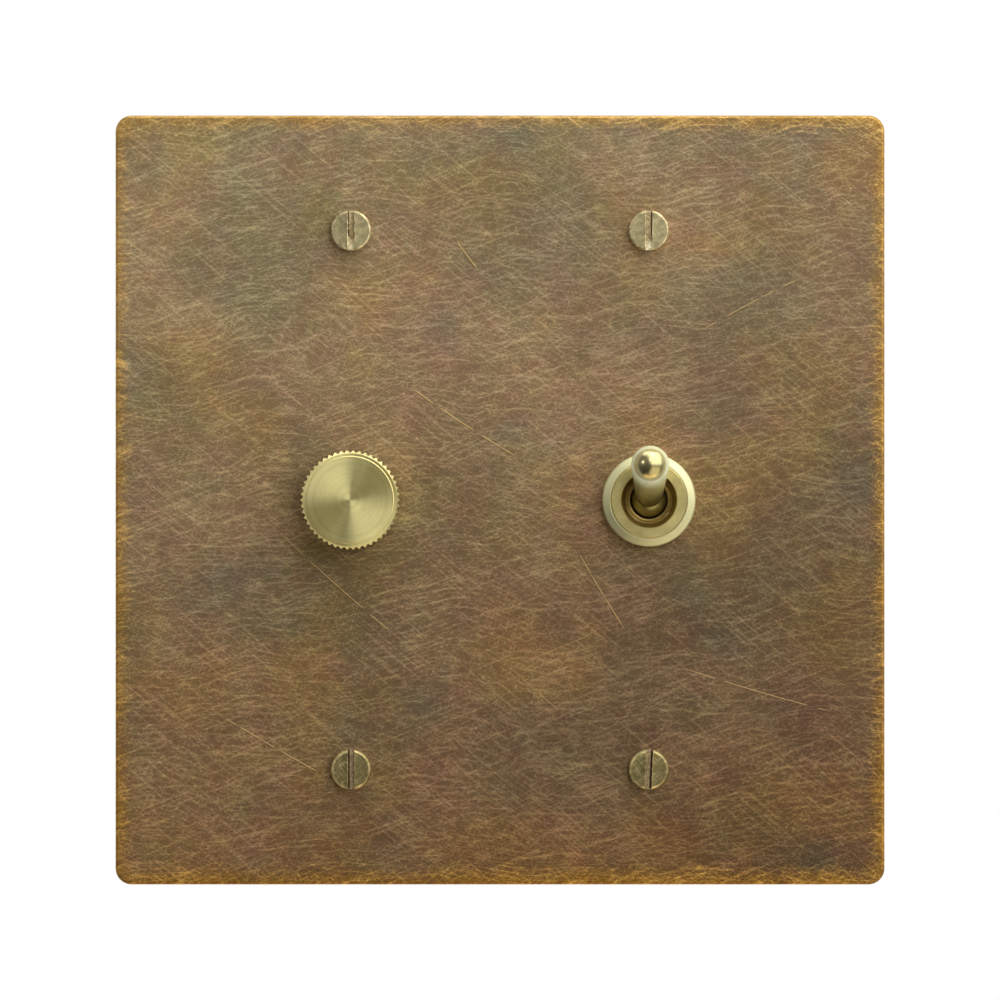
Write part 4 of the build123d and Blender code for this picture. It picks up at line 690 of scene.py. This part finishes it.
def ring(place, r, y, count):
    """Points round the screw's axis at one depth."""
    return [place((r * cos(a), y, r * sin(a))) for a in ring_angles(count)]


def shank(loft, place, neck_y, start, tip):
    """Plain neck, then a single helical thread that fades in and out, and a short point."""
    around, per_turn = 32, 7
    rows = [loft.row(ring(place, NECK_R, y, around), 0.2, 0.3) for y in (neck_y, start - 0.3)]
    count = int((tip - 0.9 - start) / SCREW_PITCH * per_turn)
    for i in range(count + 1):
        y = start + i * SCREW_PITCH / per_turn
        fade = min(1.0, i / 5, (count - i) / 5)
        points = []
        for a in ring_angles(around):
            phase = (y / SCREW_PITCH - a / (2 * pi)) % 1.0
            height = max(0.0, 1.0 - abs(phase - 0.5) / 0.36)
            r = THREAD_ROOT_R + (THREAD_CREST_R - THREAD_ROOT_R) * min(1.0, height * 1.3) * fade
            points.append(place((r * cos(a), y, r * sin(a))))
        rows.append(loft.row(points, 0.5, 0.2))
    rows.append(loft.row(ring(place, 1.3, tip - 0.5, around), 0.4, 0.2))
    rows.append(loft.row(ring(place, 0.9, tip, around), 0.4, 0.2))
    loft.skin(rows, closed=True)
    loft.cap(rows[-1])


def ring_angles(count):
    return [2 * pi * i / count for i in range(count)]


def build_screw(loft, place, chance, right, up, top, tip):
    """One box screw. The upper screws' heads are more nicked, and their slots' floors rise at the lower end, which
    carries a painted highlight.
    """
    rim, nick, flare = (0.26, 0.09, 1.0) if up > 0 else (0.42, 0.02, 0.0)
    floor = top + SLOT_DEPTH
    seat = PLATE_FRONT - SEAT_GAP
    for side in (-1, 1):
        half_head(loft, place, side, SCREW_HEAD_R, top, floor + 0.05, rim, nick, chance)
    slot_floor(loft, place, SCREW_HEAD_R, floor, chance, right, flare)
    walls = [loft.row(ring(place, SCREW_HEAD_R, y, HEAD_POINTS), 0.3, 0.5) for y in (floor, seat)]
    loft.skin(walls, closed=True)
    under = loft.row(ring(place, NECK_R, seat, HEAD_POINTS), 0.2, 0.5)
    loft.skin([walls[-1], under], closed=True)
    shank(loft, place, seat, THREAD_START, tip)


def build_screws():
    """The four box screws in one mesh: turned heads with hand-cut slots, and helical threads."""
    low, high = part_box("plate_screws")
    loft = Loft()
    chance = random.Random(11)
    for (right, up), degrees in SCREW_TURNS.items():
        cx = (high.x if right > 0 else low.x) / MM - right * SCREW_HEAD_R
        cz = (high.z if up > 0 else low.z) / MM - up * SCREW_HEAD_R
        c, s = cos(radians(degrees)), sin(radians(degrees))

        def place(p):
            return (cx + p[0] * c - p[2] * s, p[1], cz + p[0] * s + p[2] * c)

        build_screw(loft, place, chance, right, up, low.y / MM, high.y / MM)
    screws = add_piece("box_screws", loft, 35, screw_finish)
    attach(screws, "plate")
    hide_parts("plate_screws")


def add_piece(name, loft, degrees, surface):
    """Puts a loft's mesh in the scene, shaded smooth except across edges sharper than the given angle."""
    piece = bpy.data.objects.new(name, loft.mesh(name))
    bpy.context.scene.collection.objects.link(piece)
    piece.data.shade_smooth()
    piece.data.set_sharp_from_angle(angle=radians(degrees))
    wear(piece, material(name, surface))
    return piece


def screw_finish(g):
    """Olive tarnish on the faces, bare golden brass on rims and slot edges, brown soiling in the slots, and
    painted light and shade: darker lower screws, less bare brass on the lower screws' right rims, a near-black
    strip along one slot wall and a pale glint at the upper slots' lower ends.
    """
    place = g.millimetres()
    x, _, z = g.split(place)
    wear_and_glint = g.out(g.node("ShaderNodeAttribute", attribute_name=WEAR_AND_GLINT), "Fac")
    grime_and_shade = g.out(g.node("ShaderNodeAttribute", attribute_name=GRIME_AND_SHADE), "Fac")
    mottle = g.noise(place, 0.9, 4.0, 0.65, seed=1.0)
    speck = g.noise(place, 0.28, 3.0, 0.6, seed=2.0)
    up = g.step(-10, 10, z)

    streak = hairlines(g, x, z, 33, 0.22, 2.2, 4.0, 0.6, 0.8)
    streak = streak + hairlines(g, x, z, -50, 0.2, 2.0, 5.0, 0.62, 0.8)
    # Painted light and shade: the face, bare, dull and slot colours are all darker on the lower screws than on the
    # upper ones.
    olive = g.mix(g.step(0.35, 0.7, mottle), (0.22, 0.18, 0.07), (0.34, 0.27, 0.12))
    grey = g.mix(g.step(0.35, 0.7, mottle), (0.38, 0.33, 0.18), (0.60, 0.50, 0.27))
    face = g.mix(streak * 0.3, g.mix(up, olive, grey), (0.8, 0.68, 0.36))

    # Painted shade: the lower screws' rims show less bare brass on their right. The pitch brings both columns to
    # one centre.
    low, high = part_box("plate_screws")
    pitch = (high.x - low.x) / MM - 2 * SCREW_HEAD_R
    from_centre = g.math("WRAP", x, pitch, 0.0) - pitch / 2
    painted_right_rim_shade = g.step(0.3, 2.2, from_centre) * (1.0 - up)
    edge = g.step(0.35, 0.7, wear_and_glint - painted_right_rim_shade * 0.5 + (speck - 0.5) * 0.4)
    in_slot = g.step(0.1, 0.3, grime_and_shade)
    bare = g.mix(up, (0.74, 0.58, 0.26), (0.94, 0.80, 0.45))
    # Painted highlight: bare brass inside the slot is made pale, so the upper slots' lower ends glint.
    bare = g.mix(in_slot, bare, (1.0, 0.93, 0.62))
    dull = g.mix(up, (0.40, 0.32, 0.14), (0.46, 0.38, 0.19))
    colour = g.mix(edge, face, g.mix(g.step(0.40, 0.62, mottle + (speck - 0.5) * 0.4), dull, bare))

    dirt_and_shade_share = in_slot * (1.0 - edge * 0.95)
    brown_low = g.mix(g.step(0.3, 0.7, speck), (0.26, 0.18, 0.09), (0.58, 0.45, 0.25))
    brown_high = g.mix(g.step(0.3, 0.7, speck), (0.38, 0.28, 0.14), (0.80, 0.67, 0.40))
    brown = g.mix(up, brown_low, brown_high)
    # Painted shade: near black along one slot wall, and a few dark marks, over the slot's brown.
    dirt_and_shade = g.mix(g.step(0.6, 0.9, grime_and_shade + (speck - 0.5) * 0.2), brown, (0.07, 0.035, 0.015))
    return {
        "Base Color": g.mix(dirt_and_shade_share, colour, dirt_and_shade),
        "Metallic": 1.0 - edge * 0.25 - in_slot * 0.55,
        "Roughness": 0.44 + dirt_and_shade_share * 0.2 + (speck - 0.5) * 0.15,
        "Normal": g.bump((mottle + speck * 0.6) * 0.008),
    }


# ---------------------------------------------------------------- springs

WIRE_POINTS = 12
STEPS_PER_TURN = 40
# Where the lever's spring starts and ends behind the pivot.
LEVER_SPRING_START, LEVER_SPRING_END = 6.59, 3.21


def coil(start, end, radius, wire, turns):
    """The mesh of a coil spring from start to end, which are points in millimetres."""
    axis = (end - start).normalized()
    side = axis.orthogonal().normalized()
    other = axis.cross(side)
    length = (end - start).length - 2 * wire
    steps = turns * STEPS_PER_TURN
    loft = Loft()
    rows = []
    for i in range(steps + 1):
        angle = 2 * pi * turns * i / steps
        outward = side * cos(angle) + other * sin(angle)
        middle = start + axis * (wire + length * i / steps) + outward * radius
        points = []
        for a in ring_angles(WIRE_POINTS):
            points.append(tuple(middle + outward * (wire * cos(a)) + axis * (wire * sin(a))))
        rows.append(loft.row(points))
    loft.skin(rows, closed=True)
    loft.cap(rows[0])
    loft.cap(rows[-1])
    return loft


def add_spring(node, body, joint, start, end, radius, wire, turns):
    """A coil that stands for a CAD node and moves with its body. The share of its length kept at the joint's full
    travel is worked out but not used.
    """
    steel = brushed_metal((0.72, 0.72, 0.71), (0.55, 0.55, 0.55), 0.3)
    spring = add_piece(node + "_coil", coil(start, end, radius, wire, turns), 50, steel)
    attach(spring, body)
    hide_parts(node)
    travel = joints[joint]["range_m"][1] / MM
    keep = 1.0 - travel / (end - start).length
    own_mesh(spring)


def build_springs():
    """The two return springs."""
    pivot = centre_of("lever_pin") / MM
    out = Vector(joints["plunger_slide"]["axis"]).normalized()
    start, end = pivot - out * LEVER_SPRING_START, pivot - out * LEVER_SPRING_END
    add_spring("lever_spring", "lever", "plunger_slide", start, end, radius=1.05, wire=0.17, turns=5)

    low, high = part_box("push_spring")
    middle = centre_of("push_spring") / MM
    start = Vector((middle.x, low.y / MM, middle.z))
    end = Vector((middle.x, high.y / MM, middle.z))
    add_spring("push_spring", "plate", "knob_press", start, end, radius=1.2, wire=0.2, turns=4)


# ---------------------------------------------------------------- studio

# In metres, except for the lens and the sensor, which are in millimetres.
FLOOR_RADIUS = 0.42
FLOOR_HEIGHT = -0.1
LENS = 400.0
SENSOR = 36.0
VIEW_WIDTH = 0.155  # what the picture spans at the wall
CAMERA_REACH = 20


def studio_world():
    """White to the camera; as a light, a bright sweep behind the object and a dim room in front of it."""
    world = bpy.data.worlds.new("studio")
    world.use_nodes = True
    g = Graph(world.node_tree)
    _, y, z = g.split(g.node("ShaderNodeTexCoord").outputs["Generated"])
    behind = g.step(-0.35, 0.3, y)
    above = g.step(-0.7, 0.9, z)
    level = behind * 0.85 + above * 0.1 + 0.06
    seen = g.node("ShaderNodeLightPath").outputs["Is Camera Ray"]
    colour = g.mix(seen, g.vector(level, level * 0.98, level * 0.93), (1.0, 1.0, 1.0))
    background = g.node("ShaderNodeBackground", {"Color": colour, "Strength": 1.0})
    output = g.node("ShaderNodeOutputWorld")
    g.tree.links.new(background.outputs[0], output.inputs["Surface"])
    bpy.context.scene.world = world


def area_light(name, place, size, power, colour=(1.0, 1.0, 1.0)):
    """A rectangular light that faces the middle of the plate."""
    data = bpy.data.lights.new(name, "AREA")
    data.shape = "RECTANGLE"
    data.size, data.size_y = size
    data.energy = power
    data.color = colour
    lamp = bpy.data.objects.new(name, data)
    lamp.location = place
    lamp.rotation_euler = (-Vector(place)).to_track_quat("-Z", "Y").to_euler()
    bpy.context.scene.collection.objects.link(lamp)


def pale_floor():
    """A round pale floor below the object that fades out at its edge."""
    mesh = bpy.data.meshes.new("floor")
    build = bmesh.new()
    bmesh.ops.create_circle(build, cap_ends=True, segments=96, radius=FLOOR_RADIUS)
    build.to_mesh(mesh)
    build.free()
    floor = bpy.data.objects.new("floor", mesh)
    floor.location.z = FLOOR_HEIGHT
    floor.visible_glossy = False
    bpy.context.scene.collection.objects.link(floor)

    def surface(g):
        place = g.millimetres()
        x, y, _ = g.split(place)
        r = g.math("SQRT", x * x + y * y)
        grain = g.noise(place, 4.0, 3.0, seed=1.0)
        return {
            "Base Color": g.mix(grain, (0.8, 0.8, 0.79), (0.86, 0.86, 0.85)),
            "Roughness": 0.8,
            "Alpha": g.step(410, 180, r),
        }

    wear(floor, material("floor", surface))


def camera():
    """A long lens square on to the plate."""
    data = bpy.data.cameras.new("camera")
    data.lens = LENS
    data.sensor_width = SENSOR
    data.clip_end = CAMERA_REACH
    cam = bpy.data.objects.new("camera", data)
    cam.location = (0, -VIEW_WIDTH * LENS / SENSOR, 0)
    cam.rotation_euler = (pi / 2, 0, 0)
    bpy.context.scene.collection.objects.link(cam)
    bpy.context.scene.camera = cam


def studio():
    """A large key light from the upper right, warm light from below, and strips that catch the rims."""
    studio_world()
    area_light("key", (0.46, -0.58, 0.53), (1.3, 1.3), 10.8)
    area_light("bounce", (0.40, -0.55, -0.56), (0.9, 0.9), 2.6, (1.0, 0.88, 0.66))
    area_light("lamp", (-0.62, -0.62, 0.24), (0.06, 0.06), 0.45)
    area_light("top_strip", (-0.05, -0.22, 0.75), (0.8, 0.25), 1.8)
    area_light("bottom_strip", (0.0, -0.20, -0.75), (0.8, 0.2), 0.9, (1.0, 0.74, 0.40))
    pale_floor()
    camera()
    bpy.context.scene.view_settings.view_transform = "Standard"


paint_frame()
build_screws()
build_springs()
studio()
